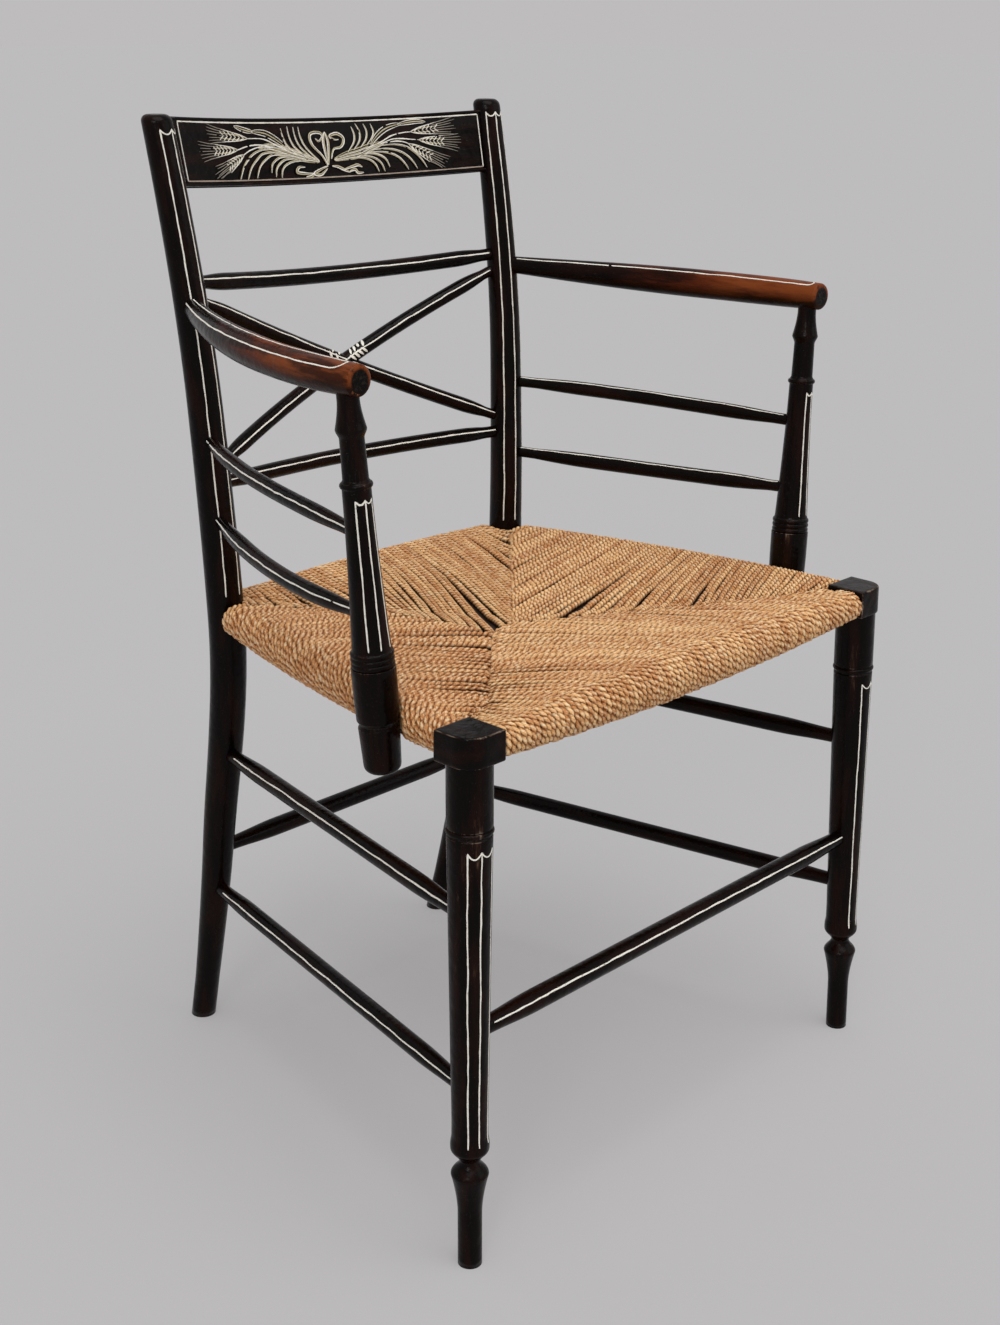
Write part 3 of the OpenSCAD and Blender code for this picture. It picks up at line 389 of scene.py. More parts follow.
def softened(profile, r=0.5):
    """Rounds the corners of a [height, radius] outline and marks how much each point stands out."""
    out = [(*profile[0], 0.0)]
    for a, p, b in zip(profile, profile[1:], profile[2:]):
        a, p, b = (np.array(q, float) for q in (a, p, b))
        da, db = np.linalg.norm(a - p), np.linalg.norm(b - p)
        if min(da, db) < 1e-6:
            continue
        ua, ub = (a - p) / da, (b - p) / db
        turn = ua[0] * ub[1] - ua[1] * ub[0]
        if abs(turn) < 0.06:
            out.append((*p, 0.0))
            continue
        ua, ub = ua * min(r, da / 3), ub * min(r, db / 3)
        worn = math.copysign(min(1.0, abs(turn) * 1.4), turn)
        out += [(*(p + ua), worn / 2), (*(p + (ua + ub) / 4), worn), (*(p + ub), worn / 2)]
    return out + [(*profile[-1], 0.0)]


def finer(outline, step=5.0):
    """Adds points to long stretches of an outline."""
    out = [outline[0]]
    for a, b in zip(outline, outline[1:]):
        parts = max(1, int(abs(b[0] - a[0]) / step))
        out += [lerp(np.array(a), np.array(b), k / parts) for k in range(1, parts + 1)]
    return out


SIDES = 56


class Member:
    """A round piece: stations along an axis with a radius, and two directions square to the axis.

    Angles go round from the first direction: the front for upright pieces, the top for lying ones."""

    count = 0

    def __init__(self, name, s, axis, radius, upright, worn=None, way=None):
        self.name, self.s, self.axis, self.radius = name, *(np.asarray(q, float) for q in (s, axis, radius))
        if way is None:
            way = np.gradient(self.axis, self.s, axis=0)
        way = unit(np.broadcast_to(way, self.axis.shape))
        if upright:
            self.e0 = unit(FRONT - way * (way @ FRONT)[:, None])
            self.e1 = np.cross(way, self.e0)
        else:
            self.e1 = unit(np.cross(way, UP))
            self.e0 = np.cross(self.e1, way)
        self.worn = np.zeros(len(self.s)) if worn is None else np.asarray(worn, float)
        Member.count += 1
        self.offset = 3000.0 * Member.count

    def on(self, s, degrees):
        """Points on the skin and their outward directions."""
        a = np.radians(degrees)[:, None]
        axis, e0, e1 = (sampled(s, self.s, v) for v in (self.axis, self.e0, self.e1))
        out = unit(e0 * np.cos(a) + e1 * np.sin(a))
        return axis + out * np.interp(s, self.s, self.radius)[:, None], out

    def build(self, material, slot, flat_low=False, share=None, disc=False):
        angle = np.arange(SIDES) * 2 * math.pi / SIDES
        cos, sin = np.cos(angle)[None, :, None], np.sin(angle)[None, :, None]
        axis, e0, e1, radius, s, worn = self.axis, self.e0, self.e1, self.radius, self.s, self.worn
        if disc:
            axis, e0, e1, s = (np.concatenate([v, v[-1:]]) for v in (axis, e0, e1, s))
            radius, worn = np.append(radius, radius[-1] - 1.8), np.append(worn, -0.6)
        way = e0[:, None] * cos + e1[:, None] * sin
        rings = axis[:, None] + way * radius[:, None, None]
        if flat_low:
            rings[0, :, 2] = 0
        flow = np.stack([cos[..., 0] * radius[:, None], sin[..., 0] * radius[:, None],
                         np.broadcast_to(s[:, None] + self.offset, (len(s), SIDES))], -1)
        floats = {"worn": np.repeat(worn, SIDES)}
        if share is not None:
            # Painted shade: the arm's underside darkens towards black; the end face's black is its own paint
            under = np.clip(0.25 - way[..., 2] * 1.1, 0, 0.9)
            under[-1] = 1.0
            floats |= {"share": np.repeat(share, SIDES), "under": under}
        add_piece(f"{self.name}_wood", rings, tube_faces(len(s), SIDES), material, (self.name,),
                  floats, flow)


def eased(a, b, steps=8):
    """Steps of a curve from one [height, radius] point to the next, level at both ends."""
    return [(lerp(a[0], b[0], k / steps), lerp(a[1], b[1], (1 - math.cos(math.pi * k / steps)) / 2))
            for k in range(1, steps + 1)]


def flared(a, b, steps=8):
    return [(lerp(a[0], b[0], k / steps), lerp(a[1], b[1], (k / steps) ** 1.7)) for k in range(1, steps + 1)]


def bead(z, low, top, width, steps=6):
    return [(z - math.cos(math.pi * k / steps) * width / 2, lerp(low, top, math.sin(math.pi * k / steps)))
            for k in range(steps + 1)]


def turned(name, start, way, profile, upright):
    """A member turned from an outline of heights and radii."""
    s, radius, worn = np.array(finer(softened(profile))).T
    return Member(name, s, start + np.outer(s, unit(way)), radius, upright, worn, way)


# How far rungs and rods are drawn into the uprights, and over what length they thin
INSIDE, RUNG_TAPER, SIDE_TAPER, BACK_TAPER = 4.0, 55.0, 60.0, 30.0


def rung(name, a, b, full, end, r_a, r_b):
    """A straight member between two uprights, from just inside one to just inside the other."""
    length = float(np.linalg.norm(b - a))
    skin_a, skin_b = (r_a, end / 2), (length - r_b, end / 2)
    full_a, full_b = (r_a + RUNG_TAPER, full / 2), (length - r_b - RUNG_TAPER, full / 2)
    profile = ([(r_a - INSIDE, end / 2), skin_a] + eased(skin_a, full_a, 12) + [full_b]
               + eased(full_b, skin_b, 12) + [(length - r_b + INSIDE, end / 2)])
    return turned(name, a, b - a, profile, False)


def rod(name, line, full, end, r_a, r_b, taper=SIDE_TAPER):
    """A bent member that swells from thin ends."""
    s = np.linspace(r_a - INSIDE, line.length - r_b + INSIDE, 84)
    near = np.clip(np.minimum(s - r_a - 5, line.length - r_b - 5 - s), 0, taper)
    skin = lerp(end / 2 - 0.5, full / 2, np.sin(math.pi / 2 * near / taper))
    return Member(name, s, [line.at(t) for t in s / line.length], np.maximum(skin, end / 2), False)


RING_Z, SHAFT_Z = SEAT_H - 76, 125.0
SHAFT_D, SHAFT_TOP_D, COLUMN_R = 28.0, 34.2, 17.25


def leg_r(z):
    return COLUMN_R if z > RING_Z else lerp(SHAFT_D, SHAFT_TOP_D, (z - SHAFT_Z) / (RING_Z - SHAFT_Z)) / 2


def leg_profile():
    below = SHAFT_TOP_D / 2
    return ([(0, 9.5), (46, 9.5)] + flared((46, 9.5), (80, 14.75)) + eased((80, 14.75), (91.5, 8.25))
            + eased((91.5, 8.25), (103, 15.1)) + [(106, 15.1)] + eased((106, 15.1), (115, 14.1))
            + [(SHAFT_Z, SHAFT_D / 2), (RING_Z - 4, below), (RING_Z - 3, below - 0.8)]
            + bead(RING_Z, below - 0.8, 18, 4) + [(RING_Z + 3, COLUMN_R), (SEAT_H - 20, COLUMN_R)])


BLOCK_HALF, BLOCK_ROUND, BLOCK_CORNER = 18.5, 17.0, 1.4
# The block's levels: height from its top, distance inside its widest outline, wear
BLOCK_LEVELS = ((-24, 1.2, 0.7), (-23.4, 0.4, 1), (-22.6, 0, 0.6), (-20, 0, 0), (-12, 0, 0), (-3.2, 0, 0),
                (-1.4, 0.1, 0.5), (-0.5, 0.45, 0.95), (-0.1, 1, 1), (0, 1.6, 0.5), (0, 4.5, 0), (0, 10, 0))


def block_outline(inset):
    """The block in plan, its outer front corner well rounded, with points along its flats."""
    arcs = []
    for q, (sx, sy) in enumerate(((1, -1), (1, 1), (-1, 1), (-1, -1))):
        r = max(0.4, (BLOCK_CORNER if q else BLOCK_ROUND) - inset)
        a = np.radians(90 * q - 90 + np.linspace(0, 90, 11 if r > 3 else 5))
        h = BLOCK_HALF - inset - r
        arcs.append(np.stack([sx * h + r * np.cos(a), sy * h + r * np.sin(a)], 1))
    return np.concatenate([np.concatenate([arc, [lerp(arc[-1], after[0], k) for k in (0.06, 0.5, 0.94)]])
                           for arc, after in zip(arcs, arcs[1:] + arcs[:1])])


def block(side):
    """The leg's square top: its points, faces, wear and flow."""
    way = unit(leg_at(SEAT_H, side) - leg_at(0, side))
    base = block_outline(0.0)
    turn, before = unit(np.roll(base, -1, 0) - base), unit(base - np.roll(base, 1, 0))
    corner = np.clip(np.abs(turn[:, 0] * before[:, 1] - turn[:, 1] * before[:, 0]) * 2.4, 0, 1)
    middle = BLOCK_HALF - BLOCK_ROUND
    corner[np.linalg.norm(base - (middle, -middle), axis=1) < BLOCK_ROUND + 0.3] *= 0.4
    rings, worn, flow = [], [], []
    for h, inset, edge in BLOCK_LEVELS:
        plan = block_outline(inset)[::side]
        x, y = plan.T
        rings.append(leg_at(SEAT_H, side) + way * h + np.outer(x, (side, 0, 0)) + np.outer(y, (0, 1, 0)))
        worn.append(np.maximum(corner[::side] * (inset < 3), edge))
        flow.append(np.stack([x + 900 * side, np.full(len(x), h + 50), y], -1))
    return rings, tube_faces(len(rings), len(base)), worn, flow


def support_r(share):
    """The arm support's radius along the shaft, which is waisted towards its top."""
    return (21 + 8 * (1 - share) ** 1.5) / 2


SHAFT_LOW, SHAFT_HIGH = 57.5, SUPPORT_L - 79


def support_profile():
    top, thin, bulb = SUPPORT_L, SUPPORT_L - 75, SUPPORT_L - 35
    body, ridge_r, ridge = 16.5, 16.2, 12.5 / 3
    out = [(-40 + 6 * (1 - math.cos(a)), 14.15 - 6 * (1 - math.sin(a)))
           for a in np.linspace(0, math.pi / 2, 7)]
    out += [(-4, body - 1), (-1, body - 2.4), (2, body - 0.4), (21.5, body), (43, body)]
    for i in range(3):
        out += bead(43 + ridge * (i + 0.5), ridge_r - 1.2, ridge_r, ridge)
    out += [(SHAFT_LOW, 14.5)]
    out += [(lerp(SHAFT_LOW, SHAFT_HIGH, u), support_r(u)) for u in np.linspace(0, 1, 13)[1:]]
    out += bead(thin, 10.5, 12, 4) + [(thin + 4, 9.4), (bulb - 7, 8.9)]
    out += eased((bulb - 7, 8.9), (bulb, 11.25))
    out += [(bulb + 20 * u, 8 + 3.25 * (1 - u) ** 1.6) for u in np.linspace(0, 1, 13)[1:]] + [(top - 4, 8)]
    return out


def support_shaft_at(z):
    h = (z - SUPPORT_SEAT[2]) / SUPPORT_WAY[2]
    return support_r((h - SHAFT_LOW) / (SHAFT_HIGH - SHAFT_LOW))


def arm_r(t):
    return (14.5 + 11 * math.sin(math.pi / 2 * min(1, t / 0.6)) - 2.5 * (max(0, t - 0.75) / 0.25) ** 2) / 2


def sided(side):
    return "left" if side == LEFT else "right"


def swap(point, side):
    return np.asarray(point) * (side, 1, 1)


members = {}
TOP_ROUND, ARM_ROUND = 6.0, 2.5


def keep(member, material=paint, slot="black_paint", **options):
    member.build(material, slot, **options)
    members[member.name] = member


for side in (LEFT, RIGHT):
    tag = sided(side)
    heights = np.append(np.linspace(0, POST_H - TOP_ROUND, 130),
                        POST_H - TOP_ROUND * (1 - np.sin(np.linspace(0.2, 1.57, 8))))
    over = np.clip((heights - POST_H) / TOP_ROUND + 1, 0, 1)
    radius = np.array([post_r(z) for z in heights]) - TOP_ROUND * (1 - np.sqrt(1 - over**2))
    rim = 0.3 * np.exp(-((heights - POST_H + 3) / 3.0) ** 2) + 0.8 * np.exp(-(heights / 4.0) ** 2)
    keep(Member(f"rear_post_{tag}", heights, [post_at(z, side) for z in heights], radius, True, rim, UP))

    foot = leg_at(0, side)
    keep(turned(f"front_leg_{tag}", foot, leg_at(SEAT_H, side) - foot, leg_profile(), True), flat_low=True)
    points, faces, worn, flow = block(side)
    add_piece(f"corner_block_{tag}", points, faces, paint, (f"front_leg_{tag}",),
              {"worn": worn}, flow)
    keep(turned(f"arm_support_{tag}", swap(SUPPORT_SEAT, side), swap(SUPPORT_WAY, side),
                support_profile(), True))

    rounded = ARM_ROUND / ARM.length
    t = np.append(np.linspace(5.0 / ARM.length, 1 - rounded, 70),
                  1 - rounded * (1 - np.sin(np.linspace(0.25, 1.57, 6))))
    over = np.clip((t - 1) / rounded + 1, 0, 1)
    radius = np.array([arm_r(q) for q in t]) - ARM_ROUND * (1 - np.sqrt(1 - over**2))
    line, rim = mirrored(ARM, side), 0.35 * np.exp(-((t - 1) * ARM.length / 2.2) ** 2)
    keep(Member(f"arm_{tag}", t * ARM.length, [line.at(q) for q in t], radius, False, rim),
         arm_paint, "arm_paint", share=np.append(t, 1.0), disc=True)

    for name, line, full, back_z, front_z in (("upper", UPPER_SIDE, 13, 579, 569),
                                              ("lower", LOWER_SIDE, 13.8, 512, 509)):
        keep(rod(f"{name}_side_rail_{tag}", mirrored(line, side), full, 10, post_r(back_z),
                 support_shaft_at(front_z)))
    for name, z, full in (("upper", 293.5, 16), ("lower", 150.5, 15.8)):
        keep(rung(f"{name}_stretcher_{tag}", leg_at(z, side), post_at(z, side), full, 12.5,
                  leg_r(z), post_r(z)))

BACK_RODS = {"upper_back_rail": (UPPER_BACK, 14.5, 11), "lower_back_rail": (LOWER_BACK, 13.8, 11),
             "cross_rod_front": (CROSS_FRONT, 13.5, 9.5), "cross_rod_back": (CROSS_BACK, 13.5, 9.5)}
for name, (line, full, end) in BACK_RODS.items():
    keep(rod(name, line, full, end, post_r(line.a[2]), post_r(line.b[2]), BACK_TAPER))
keep(rung("front_stretcher", leg_at(199, LEFT), leg_at(199), 18, 14, leg_r(199), leg_r(199)))
keep(rung("back_stretcher", post_at(190, LEFT), post_at(190), 16.8, 12.5, post_r(190), post_r(190)))


# The crest rail: a board bent to an arc, leaned back with the posts

CREST_Z, CREST_H, CREST_T, CREST_BOW = 803.0, 55.0, 13.0, 30.0
CREST_X = post_at(CREST_Z)[0]
CREST_R = (CREST_X**2 + CREST_BOW**2) / (2 * CREST_BOW)
CREST_LEAN = math.atan(post_lean(CREST_Z))
CREST_TILT = math.atan(RACK / CREST_X)


def on_crest(x, h, out=0.0):
    """A point of the crest rail's front face from its arc length and height, and the way out of it."""
    x, h, out = np.broadcast_arrays(*(np.asarray(q, float) for q in (x, h, out)))
    a = x / CREST_R
    r = CREST_R - CREST_T / 2 - out
    flat = np.stack([r * np.sin(a), r * np.cos(a) + CREST_BOW - CREST_R, h], -1)
    face = np.stack([-np.sin(a), -np.cos(a), 0 * a], -1)
    c, s = math.cos(CREST_LEAN), math.sin(CREST_LEAN)
    ct, st = math.cos(CREST_TILT), math.sin(CREST_TILT)
    turn = np.array([[1, 0, 0], [0, c, s], [0, -s, c]]) @ [[ct, 0, st], [0, 1, 0], [-st, 0, ct]]
    return flat @ turn.T + (0, post_y(CREST_Z), CREST_Z), face @ turn.T


CREST_END, CREST_ROUND, CREST_RINGS = 8.0, 2.0, 60


def crest_rail():
    """The board's rings from end to end, its faces, wear and flow."""
    half_x = CREST_R * math.asin((CREST_X - CREST_END) / CREST_R)
    half_h, r = CREST_H / 2, CREST_ROUND
    after = ((half_h, CREST_T - r), (r - half_h, CREST_T), (-half_h, r), (half_h - r, 0.0))
    section, worn = [], []
    # Each corner's arc runs the wrong way round, which folds the corner and tilts the faces by up to 2 mm
    for k, (sh, front) in enumerate(((1, True), (1, False), (-1, False), (-1, True))):
        for a in np.radians(np.linspace(0, 90, 5)):
            c, s = (math.cos(a), math.sin(a)) if k % 2 else (math.sin(a), math.cos(a))
            section.append((sh * (half_h - r + r * s), r - r * c if front else CREST_T - r + r * c))
        (h, out), shares = section[-1], (0.04, 0.3, 0.7, 0.96) if k % 2 else (0.12, 0.5, 0.88)
        section += [(lerp(h, after[k][0], share), lerp(out, after[k][1], share)) for share in shares]
        worn += [0.45] * 5 + [0.0] * len(shares)
    h, out = np.array(section).T
    x = np.linspace(-half_x, half_x, CREST_RINGS)
    flow = [np.stack([h, out, np.full(len(h), q + 77)], -1) for q in x]
    return [on_crest(q, h, -out)[0] for q in x], tube_faces(len(x), len(h)), worn * len(x), flow


points, faces, worn, flow = crest_rail()
add_piece("crest_rail_wood", points, faces, paint, ("crest_rail",), {"worn": worn}, flow)


# Painted lines

rng = np.random.default_rng(11)


def wobble(s, wave, rng=rng):
    """A smooth random curve between -1 and 1 along s."""
    knots = np.arange(s.min() - wave, s.max() + 2 * wave, wave)
    return np.interp(s, knots, rng.uniform(-1, 1, len(knots)))


# How far painted strips reach into the wood, and how much they narrow at their ends and on top
SUNK, STRIP_END, STRIP_TOP = 0.3, 0.55, 0.8


def ribbons(name, strokes, proud=0.13, gap_every=650.0, step=1.4, rise=0.0, material=cream):
    """Thin painted strips from strokes of points, outward directions and widths, with rubbed gaps."""
    points, faces, first = [], [], 0
    for centre, out, width in strokes:
        proud += rise
        length = lengths(centre)
        if length[-1] < 0.8:
            continue
        s = np.linspace(0, length[-1], max(4, int(length[-1] / step)))
        centre, out = sampled(s, length, centre), sampled(s, length, out)
        width = np.interp(s, length, np.broadcast_to(width, length.shape))
        width = width * (1 + 0.20 * wobble(s, 7) + 0.12 * wobble(s, 2.5))
        side = unit(np.cross(np.gradient(centre, axis=0), out))
        shown = np.ones(len(s), bool)
        for _ in range(rng.poisson(length[-1] / gap_every)):
            at, size = rng.uniform(0, length[-1]), rng.uniform(0.8, 2.6)
            shown &= np.abs(s - at) > size / 2
        runs = np.flatnonzero(np.diff(np.concatenate([[0], shown, [0]])))
        for a, b in zip(runs[::2], runs[1::2]):
            if b - a < 2:
                continue
            half = width[a:b, None] / 2
            half[[0, -1]] *= STRIP_END
            half = side[a:b] * half
            top = half * STRIP_TOP
            low, high = centre[a:b] - out[a:b] * SUNK, centre[a:b] + out[a:b] * proud
            points.append(np.stack([low - half, low + half, high + top, high - top], 1))
            faces += tube_faces(b - a, 4, first)
            first += 4 * (b - a)
    add_piece(name, np.concatenate(points), faces, material, flat=len(faces))


def drawn(member, path, width=1.3, shaky=True):
    """A stroke along a member, from points of distance along it and angle round it."""
    path = np.array(path, float)
    r = np.interp(path[:, 0], member.s, member.radius)
    steps = np.diff(path, axis=0)
    dist = np.append(0, np.cumsum(np.hypot(steps[:, 0], np.radians(steps[:, 1]) * r[1:])))
    s = np.linspace(0, dist[-1], max(4, int(dist[-1] / 1.5)))
    along, turn = sampled(s, dist, path).T
    if shaky:
        turn = turn + np.degrees((0.3 * wobble(s, 23) + 0.2 * wobble(s, 8)) / r.mean())
    return *member.on(along, turn), width


def upright_lines(kind, piece, side, high, low, angles, depth):
    """Lines down an upright piece, their tops joined by small arcs."""
    tag = sided(side)
    member = members[f"{piece}_{tag}"]
    strokes = [drawn(member, ((high, a), (low, a))) for a in angles]
    u = np.linspace(0, 1, 15)
    arc = high - depth * np.sin(math.pi * u) ** 0.8
    strokes += [drawn(member, np.stack([arc, lerp(a, b, u)], 1), shaky=False)
                for a, b in zip(angles, angles[1:])]
    ribbons(f"{kind}_lines_{tag}", strokes)


for side in (LEFT, RIGHT):
    tag = sided(side)
    upright_lines("leg", "front_leg", side, 352, 109, [side * a for a in (51, 15, -26)], 5)
    upright_lines("support", "arm_support", side, lerp(SHAFT_LOW, SHAFT_HIGH, 0.955), SHAFT_LOW + 1,
                  [side * a for a in (50, 12, -25)], 3)
    upright_lines("post", "rear_post", side, POST_H - 11, 446,
                  (-32, 18, 64) if side == LEFT else (-53, -10, 33), 4)

    end = ARM.length - 11
    if side == LEFT:
        paths = (((14, 2), (end, 2)),
                 ((14, 52), (end - 10, 52), (end - 5, 46), (end - 1, 32), (end, 18), (end, 2)))
    else:
        paths = (((14, 35), (end, 35), (end + 3, 28), (end + 4, 12), (end + 2, 2)),
                 ((14, -25), (end - 3, -25)))
    strokes = [drawn(members[f"arm_{tag}"], path, 1.25) for path in paths]
    a = 62 if side == LEFT else 27
    strokes += [drawn(members[f"{n}_side_rail_{tag}"], ((14, a), (length, a)))
                for n, length in (("upper", UPPER_SIDE.length - 14), ("lower", LOWER_SIDE.length - 15))]
    ribbons(f"arm_lines_{tag}", strokes)

ribbons("back_lines", [drawn(members[name], ((15, 62), (line.length - 15, 62)), 1.35)
                       for name, (line, *_) in BACK_RODS.items()])
strokes = [drawn(members["front_stretcher"], ((20, 58), (480, 58)), 1.5)]
for name in ("upper_stretcher_left", "lower_stretcher_left"):
    strokes.append(drawn(members[name], ((18, -60), (members[name].s[-1] - 16, -60)), 1.4))
ribbons("stretcher_lines", strokes)


# The painted spray on the crest rail: places are arc length and height on its front face


def smooth_path(path, count=9):
    """A smooth curve through given points."""
    p = np.array([path[0], *path, path[-1]], float)
    u = np.linspace(0, 1, count, endpoint=False)[:, None]
    spans = [0.5 * (2 * b + (c - a) * u + (2 * a - 5 * b + 4 * c - d) * u**2 + (3 * b - a - 3 * c + d) * u**3)
             for a, b, c, d in zip(p, p[1:], p[2:], p[3:])]
    return np.concatenate(spans + [p[-1:]])


# The paint covers a little less than a stroke's full width, and the awns end above the border line
COVERED, LOWEST_AWN = 0.84, -21.5


def brush(path, width, aside=0.0, tips=(0.25, 0.25)):
    """A brush stroke on the crest rail, full in the middle and thin at its tips."""
    line = smooth_path(path)
    u = np.linspace(0, 1, len(line))
    full = np.sin(math.pi * u) ** 0.6
    way = unit(np.gradient(line, axis=0))
    line = line + np.stack([-way[:, 1], way[:, 0]], 1) * (aside * full)[:, None]
    centre, out = on_crest(line[:, 0], line[:, 1])
    return centre, out, COVERED * width * np.maximum(full, lerp(*tips, u))


def ear(base, tip, half):
    """An ear of corn: fine strokes along a spindle, slanting grains, and a fan of awns beyond it."""
    base, along = np.array(base, float), np.array(tip, float) - base
    across = unit((-along[1], along[0]))
    grains, fine, awns = [], [], []
    for v in (-1, -0.4, 0.4, 1):
        kind, bend, width = (fine, 0.5, 1.0) if abs(v) == 1 else (grains, 0.85, 1.3)
        aside = across * half * v
        path = (base, base + along * 0.3 + aside * bend, base + along * (1 - 0.1 * abs(v)) + aside)
        kind.append(brush(path, width, tips=(0.5, 0.3)))
    for k in range(6):
        u = 0.14 + k / 7.5
        w = half * math.sin(math.pi * (0.16 + 0.60 * u)) * 0.8
        for side in (-1, 1):
            a, b = base + along * u, base + along * (u + 0.13) + across * side * w
            fine.append(brush((a, (a + b) / 2 + along * 0.01, b), 1.0))
    for v in np.linspace(-1, 1, 7):
        start = base + along * 0.74 + across * half * 0.95 * v
        end = base + along * (1 + rng.uniform(11, 17) / math.hypot(*along)) + across * half * (1.55 * v)
        end[1] = max(end[1], LOWEST_AWN)
        awns.append(brush((start, (start + end) / 2 - across * 0.5 * v, end), 0.8, tips=(0.8, 0.5)))
    return grains, fine, awns


# Each ear: its tip, half its width, and its stem from the ear's base inwards
EARS = (
    ((-124, 13.4), 5.2, ((-87, 10.6), (-68, 10), (-50, 3.4), (-30, -4))),
    ((-134, 0.5), 5.4, ((-101, 1.5), (-87, 4.6), (-72, 5.3), (-58, 3))),
    ((-118, -13.6), 5.0, ((-94, -2.4), (-86, 1), (-74, 3.6), (-60, 3))),
    ((134, 14), 5.2, ((101, 11.8), (92, 11.4), (80, 9.3), (68, 4.6), (50, -1))),
    ((139, 1.2), 5.2, ((109, 4.4), (100, 5.4), (91, 6.3), (80, 6.2), (66, 2.4))),
    ((124, -12.5), 5.4, ((97.5, 1.7), (92.5, 3.5), (84, 4.4), (72, 3.4))),
)
LONG_LEAVES = (
    ((-40, 0), (-47, 6), (-56, 11), (-65, 14.6), (-75, 16), (-82, 16)),
    ((-80, 16), (-90, 17.6), (-102.5, 20.8)),
    ((56, 2), (60, 6.6), (67, 12), (75, 16), (85, 18.4), (92, 18.8)),
    ((88, 18.6), (98, 20), (109, 20.6), (119, 19.8)),
)
STEM_MASS = (((-5, -10), (-22, -6), (-42, -1), (-60, 3), (-76, 3)),
             ((12.4, -9), (27, -6), (41, -4), (55, 0), (72, 4)))
BLADES = (
    ((-46, 19), (-44.5, 12), (-41, 5), (-33, -1), (-22, -6)),
    ((-38, 20.5), (-37, 12), (-33, 4), (-25, -2), (-16, -7)),
    ((-31, 20), (-30, 12), (-26, 3.6), (-18, -3), (-10, -8)),
    ((-25, 20), (-24, 12), (-20, 4), (-13, -3), (-5, -9)),
    ((-103, -22.7), (-97, -13), (-90, -6.5), (-80.5, -1), (-66, 2), (-50, 0)),
    ((-93.6, -23), (-88, -14), (-81, -8), (-71, -2), (-56, -1), (-42, -2.6)),
    ((-82, -22), (-77, -13), (-69, -7), (-59, -3), (-44, -3.4), (-32, -5)),
    ((-63.6, -18), (-62, -12), (-58.6, -8.7), (-51, -5.3), (-40, -4.6), (-28, -6)),
    ((-58.7, -21.4), (-57, -15), (-52, -10.4), (-44, -7), (-32, -6.6), (-20, -7.6)),
    ((-52, -22.5), (-50, -16), (-45, -11.8), (-36, -9), (-25.5, -8.5), (-12, -9)),
    ((36, 19), (38.6, 12), (37, 5), (29, -3)), ((41, 21.4), (45, 13.5), (43.6, 6), (36, -1.4)),
    ((50, 21), (53, 14), (51, 7), (44, 0.4)), ((58, 20.8), (60.6, 13.6), (58, 8), (51, 2)),
    ((115, -20.5), (111, -14), (104, -6.6), (95, -1), (83, 1.6), (68, 1.4)),
    ((104.5, -21), (100.6, -14.6), (93.6, -8), (84, -3.6), (72, -1.6), (58, -2)),
    ((94.6, -21), (91.2, -15.4), (85, -9.6), (76, -5.8), (65, -4), (50, -4.4)),
    ((74, -18), (71.4, -11.6), (66, -7.6), (58, -5.4), (46, -5.4)),
    ((68, -21.4), (65.6, -14.8), (60, -10), (51, -7.4), (38, -6.8)),
    ((61.5, -21.4), (58.6, -15), (53, -10.6), (44, -8.4), (30, -8)),
)
CURLS = (
    ((4, -13.6), (-1, -5), (-10, 3), (-13, 9), (-12, 13.4), (-6, 15), (0.4, 14), (1.5, 10.7), (-3, 7.3),
     (-6.7, 9.7)),
    ((9, -8), (13, 0), (21, 1.6), (25, 5.5), (25, 10), (19, 13.3), (13, 12.6), (10.4, 11), (15, 8.5),
     (20, 8.2)),
    ((5, 15), (2.4, 8), (3.2, -2), (5, -13)), ((5, 15), (7.6, 8), (7, -2), (5, -13)),
    ((4, -14), (-6, -17), (-12.5, -20), (-5, -21), (3, -16)), ((-12.5, -20), (-17, -22.3), (-23, -22.5)),
    ((-12.5, -20), (-24, -19.5), (-32.6, -18), (-30, -14), (-23, -14)),
    ((9, -14), (15.6, -15), (22, -17.6), (28.7, -20.3)), ((22, -17.6), (34, -15), (38.6, -14.3), (43, -16.3)),
    ((28, -19.5), (34.7, -18), (37.6, -21), (43.8, -21)),
)


